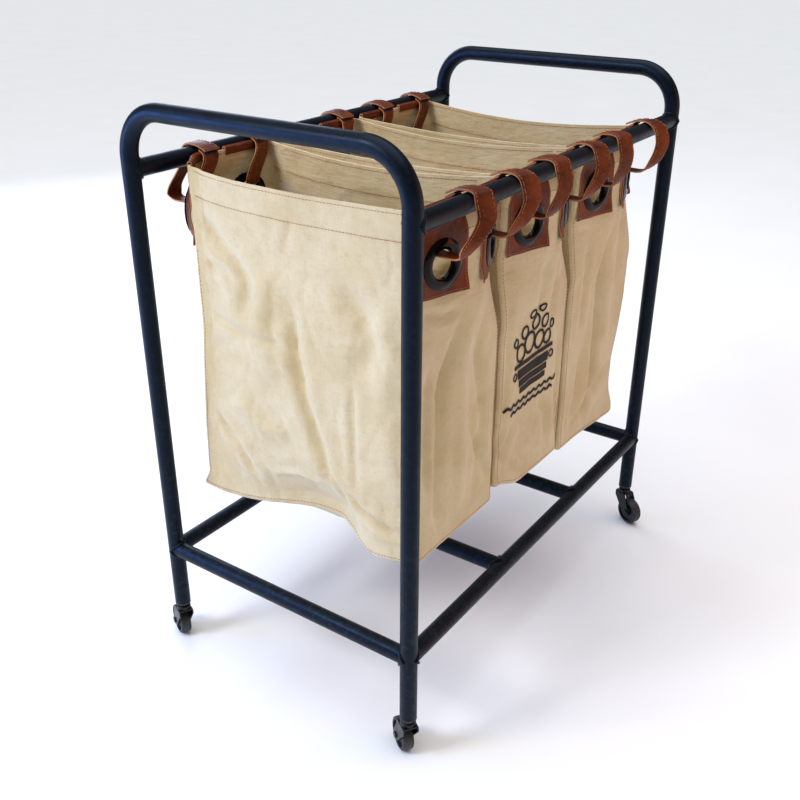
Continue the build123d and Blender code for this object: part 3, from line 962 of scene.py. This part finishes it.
def open_eyelet_holes(mesh):
    """Delete the faces inside each eyelet and pull the hole's edge onto a circle."""
    work = bmesh.new()
    work.from_mesh(mesh)
    centres = [
        Vector((which * eyelet_offset, sign * half_length, eyelet_height)) * MM
        for which in (-1, 1)
        for sign in (-1, 1)
    ]
    doomed = [
        face
        for face in work.faces
        if any((face.calc_center_median() - centre).length < hole_radius * MM for centre in centres)
    ]
    bmesh.ops.delete(work, geom=doomed, context="FACES")
    for edge in [e for e in work.edges if e.is_boundary]:
        for vertex in edge.verts:
            for centre in centres:
                offset = vertex.co - centre
                if offset.length < 2 * hole_radius * MM:
                    vertex.co = centre + offset.normalized() * hole_radius * MM
    work.to_mesh(mesh)
    work.free()


for side in sides:
    shell, hem = canvas_shell(side)
    for vertex in shell.data.vertices:
        hem.add([vertex.index], 0.5, "REPLACE")
    layer = shell.data.uv_layers["cloth"]
    for face in shell.data.polygons:
        for corner in face.loop_indices:
            if abs(face.normal.z) < 0.5 and layer.data[corner].uv.y > (rim_height - hem_depth) * MM:
                hem.add([shell.data.loops[corner].vertex_index], 1.0, "REPLACE")
    deselect()
    shell.select_set(True)
    bpy.context.view_layer.objects.active = shell
    thicken = shell.modifiers.new("thickness", "SOLIDIFY")
    thicken.thickness = 4 * cloth_half * MM
    thicken.offset = 0
    thicken.vertex_group = "hem"
    bpy.ops.object.modifier_apply(modifier="thickness")
    bpy.ops.object.shade_smooth_by_angle(angle=math.radians(50))
    shell.data.materials.append(canvas)
    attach(shell, f"hung_bag_{side}")
    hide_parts(f"bag_{side}")
    print(shell.name, "faces", len(shell.data.polygons))

# %% [markdown]
# ## Thread
# A seam is what makes cloth look sewn. Each stitch is a short, thick thread that dips into the
# cloth at both ends, so one stitch is modelled once, as a six-sided rod with narrow ends, and is
# copied along every seam. A row of stitches is one mesh.

# %% One stitch, copied along a seam
def stitch_model(length, thickness):
    """Model one stitch along X, as points and faces."""
    deselect()
    bpy.ops.mesh.primitive_cylinder_add(
        vertices=6, radius=thickness / 2 * MM, depth=length * MM, rotation=(0, math.pi / 2, 0)
    )
    rod = bpy.context.active_object
    bpy.ops.object.transform_apply(location=True, rotation=True, scale=True)
    bpy.ops.object.mode_set(mode="EDIT")
    bpy.ops.mesh.select_all(action="SELECT")
    bpy.ops.mesh.bisect(plane_co=(0, 0, 0), plane_no=(1, 0, 0))
    bpy.ops.object.mode_set(mode="OBJECT")
    for vertex in rod.data.vertices:
        if abs(vertex.co.x) > 0.3 * length * MM:
            vertex.co.y *= 0.55
            vertex.co.z = vertex.co.z * 0.55 - 0.35 * thickness * MM
    points = [v.co.copy() for v in rod.data.vertices]
    faces = [tuple(f.vertices) for f in rod.data.polygons]
    bpy.data.objects.remove(rod)
    return points, faces


cloth_stitch = stitch_model(4.6, 1.1)
leather_stitch = stitch_model(3.6, 0.95)


def sew(name, stitch, rows, material, body):
    """Copy a stitch to every (place, along, outward) of the rows and join them in one piece."""
    model_points, model_faces = stitch
    points, faces = [], []
    for place, along, outward in rows:
        across = outward.cross(along).normalized()
        outward = along.cross(across).normalized()
        first = len(points)
        turn_in = Matrix((along, across, outward)).transposed()
        points += [turn_in @ p + place * MM for p in model_points]
        faces += [tuple(first + i for i in face) for face in model_faces]
    mesh = bpy.data.meshes.new(name)
    mesh.from_pydata(points, [], faces)
    seam = bpy.data.objects.new(name, mesh)
    bpy.context.collection.objects.link(seam)
    mesh.materials.append(material)
    mesh.polygons.foreach_set("use_smooth", [True] * len(mesh.polygons))
    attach(seam, body)
    return seam


def seam_on_wall(side, wall, start, stop, pitch, out):
    """Stitches along a straight line of a wall, from one (across, up) to another."""
    length = math.dist(start, stop)
    count = max(1, int(length / pitch))
    rows = []
    for number in range(count):
        t = (number + 0.5) / count
        across = start[0] + (stop[0] - start[0]) * t
        up = start[1] + (stop[1] - start[1]) * t
        place, normal, along, rise = on_wall(side, wall, across, up, out)
        way = along * (stop[0] - start[0]) + rise * (stop[1] - start[1])
        rows.append((place, way.normalized(), normal))
    return rows


# %% [markdown]
# The canvas is sewn with two rows round the hem, one just under the rim and one where the hem
# ends, and with a row beside every upright seam and round the base.

# %% Seams of the bags
canvas_pieces = {side: [] for side in sides}
cloth_pitch = 5.6
thread_rise = 0.25
hem_out = 2 * cloth_half + thread_rise
seam_out = cloth_half + thread_rise
wall_halves = {"front": half_width, "rear": half_width, "near": half_length, "far": half_length}
for side in sides:
    rows = []
    for wall, half in wall_halves.items():
        edge = half - 3
        for below in (4.5, hem_depth):
            start, stop = (-edge, rim_height - below), (edge, rim_height - below)
            for out in (hem_out, -hem_out):
                rows += seam_on_wall(side, wall, start, stop, cloth_pitch, out)
        for across in (-half + 5.5, half - 5.5):
            start, stop = (across, base_height + 6), (across, rim_height - 2)
            rows += seam_on_wall(side, wall, start, stop, cloth_pitch, seam_out)
        start, stop = (-half + 6, base_height + 7), (half - 6, base_height + 7)
        rows += seam_on_wall(side, wall, start, stop, cloth_pitch, seam_out)
    # No seam stitch is laid where a patch lies, on either face of the cloth.
    open_rows = []
    for place, way, normal in rows:
        flat_x = place.x - bag_middle[side]
        under_patch = any(abs(flat_x - which * eyelet_offset) < patch_half + 1 for which in (-1, 1))
        if not (under_patch and abs(place.y) > half_length - 45 and place.z > patch_bottom - 1):
            open_rows.append((place, way, normal))
    seam = sew(
        f"canvas_seams_{side}", cloth_stitch, open_rows, canvas_thread, f"hung_bag_{side}"
    )
    canvas_pieces[side].append(seam)
    print(seam.name, "stitches", len(open_rows))

# %% [markdown]
# ## Leather patches
# A piece of leather is folded over the rim at each eyelet, so that the eyelet clamps leather and
# canvas. It starts as a grid, gets its round hole, and is wrapped over the rim: the outer leaf,
# half a turn over the edge, and a short inner leaf that the rim's seam catches.

# %% Patches
leather_half = 1.0
outer_leaf_gap = 2 * cloth_half + leather_half + 0.15
patch_length = rim_height + 1.5 - patch_bottom
fold_length = math.pi * outer_leaf_gap
inner_length = 9.0
leather_pitch = 4.4


def patch_curl(which, across, along):
    """How far a patch's free lower corners curl up, in millimetres."""
    corner = ease(abs(across), 30, patch_half) * ease(along, 24, 0)
    return corner * (2.2 if which < 0 else 5.5)


def finish_leather(piece, thickness, rounding, smooth_angle):
    """Give a leather sheet its thickness, a raw cut edge and softened corners."""
    body = piece.modifiers.new("thickness", "SOLIDIFY")
    body.thickness = thickness * MM
    body.offset = 0
    body.material_offset_rim = 1
    rounded = piece.modifiers.new("edges", "BEVEL")
    rounded.width = rounding * MM
    rounded.segments = 2
    rounded.limit_method = "ANGLE"
    rounded.angle_limit = math.radians(50)
    piece.data.materials.append(leather)
    piece.data.materials.append(raw_edge)
    for modifier in ("thickness", "edges"):
        bpy.ops.object.modifier_apply(modifier=modifier)
    bpy.ops.object.shade_smooth_by_angle(angle=math.radians(smooth_angle))


def on_patch(side, wall, which, across, along, lift):
    """Place on a folded patch. along runs from the outer lower edge over the rim to the inner one."""
    x = which * eyelet_offset + across
    if along < patch_length:
        return on_wall(side, wall, x, patch_bottom + along, outer_leaf_gap + lift)
    if along > patch_length + fold_length:
        up = rim_height + 1.5 - (along - patch_length - fold_length)
        place, normal, right, rise = on_wall(side, wall, x, up, -outer_leaf_gap - lift)
        return place, -normal, right, rise
    turned = (along - patch_length) / fold_length * math.pi
    place, normal, right, rise = on_wall(side, wall, x, rim_height)
    direction = normal * math.cos(turned) + rise * math.sin(turned)
    centre = place + rise * 1.5
    return centre + direction * (outer_leaf_gap + lift), direction, right, rise


def patch_leather(side, wall, which):
    deselect()
    whole = patch_length + fold_length + inner_length
    bpy.ops.mesh.primitive_grid_add(x_subdivisions=24, y_subdivisions=40, size=1)
    leaf = bpy.context.active_object
    for vertex in leaf.data.vertices:
        vertex.co = Vector((vertex.co.x * 2 * patch_half, (vertex.co.y + 0.5) * whole, 0))
    work = bmesh.new()
    work.from_mesh(leaf.data)
    centre = Vector((0, eyelet_height - patch_bottom, 0))
    doomed = [f for f in work.faces if (f.calc_center_median() - centre).length < hole_radius]
    bmesh.ops.delete(work, geom=doomed, context="FACES")
    for edge in [e for e in work.edges if e.is_boundary]:
        for vertex in edge.verts:
            offset = vertex.co - centre
            if offset.length < 1.3 * hole_radius:
                vertex.co = centre + offset.normalized() * hole_radius
    for vertex in work.verts:
        across, along = vertex.co.x, vertex.co.y
        curl = patch_curl(which, across, along)
        vertex.co = on_patch(side, wall, which, across, along, curl)[0] * MM
    bmesh.ops.recalc_face_normals(work, faces=work.faces)
    work.to_mesh(leaf.data)
    work.free()
    # The lowest, outermost face has to look away from the bag.
    outward = Vector((0, -1 if wall == "front" else 1, 0))
    outer_face = min(leaf.data.polygons, key=lambda f: -abs(f.center.y) + f.center.z)
    if outer_face.normal.dot(outward) < 0:
        leaf.data.flip_normals()
    finish_leather(leaf, 2 * leather_half, 0.45, 40)
    return leaf


def join(name, parts, body, slot_name, *stands_for):
    """Join parts into one piece that rides on a body and stands for CAD nodes."""
    deselect()
    for part in parts:
        part.select_set(True)
    bpy.context.view_layer.objects.active = parts[0]
    if len(parts) > 1:
        bpy.ops.object.join()
    piece = bpy.context.active_object
    piece.name = name
    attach(piece, body)
    if stands_for:
        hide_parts(*stands_for)
    return piece


places = [(wall, which) for wall in ("front", "rear") for which in (-1, 1)]
for side in sides:
    patches = join(
        f"folded_patches_{side}",
        [patch_leather(side, wall, which) for wall, which in places],
        f"hung_bag_{side}", "leather", f"leather_patches_{side}",
    )
    rows = []
    inset = 3.2
    for wall, which in places:
        edge = patch_half - inset
        corners = ((-edge, patch_length + 2), (-edge, inset), (edge, inset), (edge, patch_length + 2))
        for start, stop in zip(corners, corners[1:]):
            count = int(math.dist(start, stop) / leather_pitch)
            for number in range(count):
                t = (number + 0.5) / count
                across = start[0] + (stop[0] - start[0]) * t
                along = start[1] + (stop[1] - start[1]) * t
                lift = patch_curl(which, across, along) + leather_half + thread_rise
                place, normal, right, rise = on_patch(side, wall, which, across, along, lift)
                way = right if stop[1] == start[1] else rise
                rows.append((place, way, normal))
    seam = sew(
        f"patch_stitches_{side}", leather_stitch, rows, leather_thread, f"hung_bag_{side}"
    )
    canvas_pieces[side] += [patches, seam]
    print(patches.name, "faces", len(patches.data.polygons), "stitches", len(rows))

# %% [markdown]
# ## Eyelets
# Each eyelet is a pair of moulded rings pressed together: a domed face outside, a flatter one
# inside and a smooth barrel between them. Half of the ring's section is drawn as a line of points
# with extrude and spun once round.

# %% Eyelets
eyelet_radius = 32.5
bore_radius = 18.5


def eyelet_ring():
    outside = outer_leaf_gap + leather_half + 0.1
    inside = cloth_half + 0.3
    section = [
        (bore_radius, 0.0), (bore_radius, outside), (bore_radius + 1.2, outside + 2.2),
        (bore_radius + 4.5, outside + 3.9), (bore_radius + 8.5, outside + 3.4),
        (eyelet_radius - 2.0, outside + 2.0), (eyelet_radius, outside + 0.9),
        (eyelet_radius, outside - 0.1), (hole_radius + 1.0, outside - 0.1),
        (bore_radius + 2.2, outside - 1.0),
        (bore_radius + 2.2, 0.5 - inside), (hole_radius + 1.0, -inside),
        (eyelet_radius, -inside), (eyelet_radius, -inside - 0.9),
        (eyelet_radius - 2.0, -inside - 1.7), (bore_radius + 6.0, -inside - 2.5),
        (bore_radius + 1.2, -inside - 1.9), (bore_radius, -inside),
    ]
    deselect()
    mesh = bpy.data.meshes.new("eyelet")
    mesh.from_pydata([(section[0][0] * MM, 0, section[0][1] * MM)], [], [])
    ring = bpy.data.objects.new("eyelet", mesh)
    bpy.context.collection.objects.link(ring)
    ring.select_set(True)
    bpy.context.view_layer.objects.active = ring
    bpy.ops.object.mode_set(mode="EDIT")
    bpy.ops.mesh.select_mode(type="VERT")
    bpy.ops.mesh.select_all(action="SELECT")
    for (r0, h0), (r1, h1) in zip(section, section[1:] + section[:1]):
        bpy.ops.mesh.extrude_region_move(
            TRANSFORM_OT_translate={"value": ((r1 - r0) * MM, 0, (h1 - h0) * MM)}
        )
    bpy.ops.mesh.select_all(action="SELECT")
    bpy.ops.mesh.remove_doubles(threshold=0.01 * MM)
    bpy.ops.mesh.select_all(action="SELECT")
    bpy.ops.mesh.spin(steps=48, angle=math.tau, center=(0, 0, 0), axis=(0, 0, 1))
    bpy.ops.mesh.select_all(action="SELECT")
    bpy.ops.mesh.remove_doubles(threshold=0.01 * MM)
    bpy.ops.mesh.normals_make_consistent(inside=False)
    bpy.ops.object.mode_set(mode="OBJECT")
    return ring


for side in sides:
    rings = []
    for wall, which in places:
        ring = eyelet_ring()
        place, normal, right, rise = on_wall(side, wall, which * eyelet_offset, eyelet_height)
        upward = normal.cross(right)
        ring.matrix_world = (
            Matrix.Translation(place * MM) @ Matrix((right, upward, normal)).transposed().to_4x4()
        )
        settle(ring)
        bpy.ops.object.shade_smooth_by_angle(angle=math.radians(60))
        ring.data.materials.append(eyelet_resin)
        rings.append(ring)
    eyelets = join(
        f"eyelets_{side}", rings, f"hung_bag_{side}", "eyelet_plastic",
        f"eyelet_faces_{side}", f"eyelet_backs_{side}",
    )
    canvas_pieces[side].append(eyelets)
    print(eyelets.name, "faces", len(eyelets.data.polygons))

# %% [markdown]
# ## Strap loops
# Stiff leather doesn't fold, it springs. Each strap runs up inside the bag, over the rim and the
# rail, springs out into a round loop, dives through the eyelet and closes on itself with a piece
# of hook tape. The loop is drawn as a few points around the rail's centre, out and up, and a
# smooth curve through them carries a flat section that is narrower inside the eyelet.

# %% Strap path
loop_path = [
    (-29, 8.6), (-19, 12.4), (-9, 14.6), (2, 15.2), (12.5, 13.4), (21.5, 7.0), (27, -4),
    (29.8, -18), (29.6, -32), (26.4, -45), (18.5, -54.2), (8, -58.8), (-6, -59), (-19, -58.3),
    (-28, -54.5), (-31.3, -45), (-32, -28), (-31.6, -12), (-29.6, -2.5), (-25, 4.6), (-16, 9.0),
]
strap_width = 29
throat_width = 22
strap_thickness = 2.4
# How far each strap leans along the rail, how wide its loop springs, and how far it turns to
# show its face to the near end; the pairs are the left and the right strap.
strap_lean = {
    ("left", "front"): (38, 32), ("middle", "front"): (25, 31), ("right", "front"): (13, 27),
    ("left", "rear"): (36, 31), ("middle", "rear"): (-12, 20), ("right", "rear"): (30, 31),
}
loop_swell = {
    ("left", "front"): (0.8, 0.84), ("middle", "front"): (0.84, 0.82), ("right", "front"): (0.82, 0.98),
    ("left", "rear"): (0.82, 0.95), ("middle", "rear"): (0.96, 1.03), ("right", "rear"): (1.04, 0.95),
}
strap_turn = {"front": 20, "rear": 6}


def smooth_line(points, spacing):
    """Catmull-Rom curve through points, sampled about every spacing millimetres."""
    made = []
    ends = [points[0]] + points + [points[-1]]
    for a, b, c, d in zip(ends, ends[1:], ends[2:], ends[3:]):
        count = max(1, round(math.dist(b, c) / spacing))
        for number in range(count):
            t = number / count
            made.append(tuple(
                0.5 * (2 * q + (r - p) * t + (2 * p - 5 * q + 4 * r - s) * t * t
                       + (3 * q - p - 3 * r + s) * t ** 3)
                for p, q, r, s in zip(a, b, c, d)
            ))
    made.append(points[-1])
    return made


def strap_line(side, wall, which):
    """Places, outward directions, widths and width directions along one strap, in millimetres."""
    lean = strap_lean[(side, wall)][0 if which < 0 else 1]
    swell = loop_swell[(side, wall)][0 if which < 0 else 1]
    sign = -1 if wall == "front" else 1
    flat = smooth_line(loop_path, 3.0)
    line = []
    for number, (out, up) in enumerate(flat):
        before, after = flat[max(0, number - 1)], flat[min(len(flat) - 1, number + 1)]
        step = (after[0] - before[0], after[1] - before[1])
        size = math.hypot(*step)
        normal = (-step[1] / size, step[0] / size)
        free = ease(out, 13, 27)
        rise = ease(up, -58, -12) if out > 0 else ease(up, -50, 12)
        turn = math.radians(strap_turn[wall]) * ease(out, -4, 12) * ease(up, -57, -40)
        out = out + (swell - 1) * 30 * free
        x = bag_middle[side] + which * eyelet_offset + lean * rise + 3 * free * which
        width = strap_width + (throat_width - strap_width) * ease(up, -50, -57)
        line.append((
            Vector((x, sign * (rail_reach + out), rail_height + up)),
            Vector((-math.sin(turn) * normal[0], sign * math.cos(turn) * normal[0], normal[1])),
            width,
            Vector((math.cos(turn), sign * math.sin(turn), 0)),
        ))
    return line


def strap_band(side, wall, which):
    """Model one strap as a strip of faces, extruded step by step, with thickness and soft edges."""
    line = strap_line(side, wall, which)
    deselect()
    mesh = bpy.data.meshes.new("strap")
    place, normal, width, along = line[0]
    cross = [(-0.5, 0), (-0.42, 0.25), (0, 0.5), (0.42, 0.25), (0.5, 0)]
    mesh.from_pydata(
        [(place + along * (share * width)) * MM for share, crown in cross],
        [(0, 1), (1, 2), (2, 3), (3, 4)],
        [],
    )
    band = bpy.data.objects.new("strap", mesh)
    bpy.context.collection.objects.link(band)
    band.select_set(True)
    bpy.context.view_layer.objects.active = band
    bpy.ops.object.mode_set(mode="EDIT")
    bpy.ops.mesh.select_mode(type="EDGE")
    bpy.ops.mesh.select_all(action="SELECT")
    for before, after in zip(line, line[1:]):
        step = (after[0] - before[0]) * MM
        bpy.ops.mesh.extrude_edges_move(TRANSFORM_OT_translate={"value": step})
    bpy.ops.object.mode_set(mode="OBJECT")
    random.seed(f"{side}{wall}{which}")
    phase = random.uniform(0, 6)
    for row, (place, normal, width, along) in enumerate(line):
        loose = ease(place.z, rail_height - 50, rail_height - 20)
        twist = 1.4 * math.sin(row * 0.16 + phase) * loose
        for column, (share, crown) in enumerate(cross):
            vertex = band.data.vertices[row * len(cross) + column]
            vertex.co = (place + along * (share * width) + normal * (crown * 0.8 + twist * share)) * MM
    work = bmesh.new()
    work.from_mesh(band.data)
    bmesh.ops.recalc_face_normals(work, faces=work.faces)
    place, normal, width, along = line[len(line) // 3]
    nearest = min(work.faces, key=lambda face: (face.calc_center_median() - place * MM).length)
    if nearest.normal.dot(normal) < 0:
        bmesh.ops.reverse_faces(work, faces=work.faces)
    work.to_mesh(band.data)
    work.free()
    finish_leather(band, strap_thickness, 0.5, 45)
    return band


def tape_strip(side, wall, which):
    """The black hook tape between the strap's two ends."""
    line = strap_line(side, wall, which)
    low_layer = line[-5:]
    deselect()
    bpy.ops.mesh.primitive_grid_add(x_subdivisions=6, y_subdivisions=8, size=1)
    tape = bpy.context.active_object
    start, end = low_layer[0], low_layer[-1]
    for vertex in tape.data.vertices:
        t = vertex.co.y + 0.5
        place = start[0].lerp(end[0], t)
        normal = start[1].lerp(end[1], t).normalized()
        if normal.z < 0:
            normal = -normal
        vertex.co = (place + Vector((vertex.co.x * 25, 0, 0)) + normal * 1.9) * MM
    body = tape.modifiers.new("thickness", "SOLIDIFY")
    body.thickness = 1.2 * MM
    body.offset = 0
    bpy.ops.object.modifier_apply(modifier="thickness")
    tape.data.materials.append(hook_tape)
    return tape


# %% Straps, their stitches and tapes
for side in sides:
    body = f"hung_bag_{side}"
    straps = join(
        f"straps_{side}", [strap_band(side, wall, which) for wall, which in places],
        body, "leather", f"strap_loops_{side}",
    )
    tapes = join(
        f"tapes_{side}", [tape_strip(side, wall, which) for wall, which in places],
        body, "hook_tape", f"hook_tapes_{side}",
    )
    rows = []
    for wall, which in places:
        line = strap_line(side, wall, which)
        for edge in (-1, 1):
            walked = 0.0
            for before, after in zip(line, line[1:]):
                place, outward, width, along = after
                walked += (place - before[0]).length
                if walked < leather_pitch:
                    continue
                walked -= leather_pitch
                lifted = outward * (strap_thickness / 2 + 0.45)
                at = place + along * (edge * (width / 2 - 2.6)) + lifted
                rows.append((at, (place - before[0]).normalized(), outward))
    seam = sew(f"strap_stitches_{side}", leather_stitch, rows, leather_thread, body)
    canvas_pieces[side] += [straps, tapes, seam]
    print(straps.name, "faces", len(straps.data.polygons), "stitches", len(rows))

# %% [markdown]
# ## The printed mark
# The middle bag carries a stencilled mark about four fifths as wide as the bag: a plain washtub
# with suds over it and ripples under it. The shapes are drawn flat with primitives, cut into small
# faces so that they can bend, and then every point is laid on the hung cloth a hair above the weave.

# %% Mark
mark_centre = (-4, 498)


def flat_shape(kind, across, up, size, turn=0.0, stretch_by=(1, 1)):
    """Add a flat shape to the mark, in millimetres from the mark's centre."""
    deselect()
    if kind == "disc":
        bpy.ops.mesh.primitive_circle_add(vertices=36, radius=size, fill_type="NGON")
    elif kind == "bar":
        bpy.ops.mesh.primitive_plane_add(size=size)
    shape = bpy.context.active_object
    bpy.ops.object.transform_apply(location=True, rotation=True, scale=True)
    turned = Matrix.Rotation(turn, 4, "Z")
    for vertex in shape.data.vertices:
        moved = turned @ Vector((vertex.co.x * stretch_by[0], vertex.co.y * stretch_by[1], 0))
        vertex.co = moved + Vector((across, up, 0))
    return shape


def ring_shape(across, up, size, line):
    """A bubble: a disc with its middle cut out by an inset."""
    shape = flat_shape("disc", across, up, size)
    bpy.ops.object.mode_set(mode="EDIT")
    bpy.ops.mesh.select_mode(type="FACE")
    bpy.ops.mesh.select_all(action="SELECT")
    bpy.ops.mesh.inset(thickness=line, depth=0)
    bpy.ops.mesh.delete(type="FACE")
    bpy.ops.object.mode_set(mode="OBJECT")
    return shape


shapes = []
for across, up, size, line in (
    (-42, 24, 15, 4.0), (-14, 32, 18, 4.4), (17, 27, 16, 4.2), (44, 23, 13, 3.8),
    (-58, 44, 8, 3.0), (-31, 53, 11, 3.4), (2, 60, 13, 3.6), (32, 53, 12, 3.6),
    (58, 40, 8, 3.0), (-14, 78, 8, 3.0), (20, 78, 7, 2.8),
):
    shapes.append(ring_shape(across, up, size, line))
shapes.append(flat_shape("bar", 0, 5, 10, 0, (12.4, 0.6)))
for up, wide, tall in ((-10, 9.6, 1.5), (-25.5, 8.9, 1.0), (-38, 8.2, 0.9)):
    shapes.append(flat_shape("bar", 0, up, 10, 0, (wide, tall)))
for across in (-58, 58):
    shapes.append(ring_shape(across, -10, 7, 2.6))
for row, count in ((-56, 10), (-68, 8)):
    for number in range(count):
        across = (number - (count - 1) / 2) * 17
        shapes.append(flat_shape("bar", across - 3.6, row, 10, 0.55, (1.0, 0.42)))
        shapes.append(flat_shape("bar", across + 3.6, row, 10, -0.55, (1.0, 0.42)))
deselect()
for shape in shapes:
    shape.select_set(True)
bpy.context.view_layer.objects.active = shapes[0]
bpy.ops.object.join()
mark = bpy.context.active_object
mark.name = "stencilled_mark_middle"
bpy.ops.object.mode_set(mode="EDIT")
for axis, reach in ((0, 92), (1, 92)):
    for number in range(-int(reach / 4), int(reach / 4) + 1):
        cut = [0, 0, 0]
        cut[axis] = number * 4 + 0.7
        normal = [0, 0, 0]
        normal[axis] = 1
        bpy.ops.mesh.select_all(action="SELECT")
        bpy.ops.mesh.bisect(plane_co=cut, plane_no=normal)
bpy.ops.object.mode_set(mode="OBJECT")
for vertex in mark.data.vertices:
    across, up = vertex.co.x + mark_centre[0], vertex.co.y + mark_centre[1]
    vertex.co = on_wall("middle", "front", across, up, cloth_half + 1.0)[0] * MM
body = mark.modifiers.new("thickness", "SOLIDIFY")
body.thickness = 0.6 * MM
body.offset = 0
bpy.ops.object.modifier_apply(modifier="thickness")
mark.data.materials.clear()
mark.data.materials.append(ink)
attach(mark, "hung_bag_middle")
canvas_pieces["middle"].append(mark)
print(mark.name, "faces", len(mark.data.polygons))
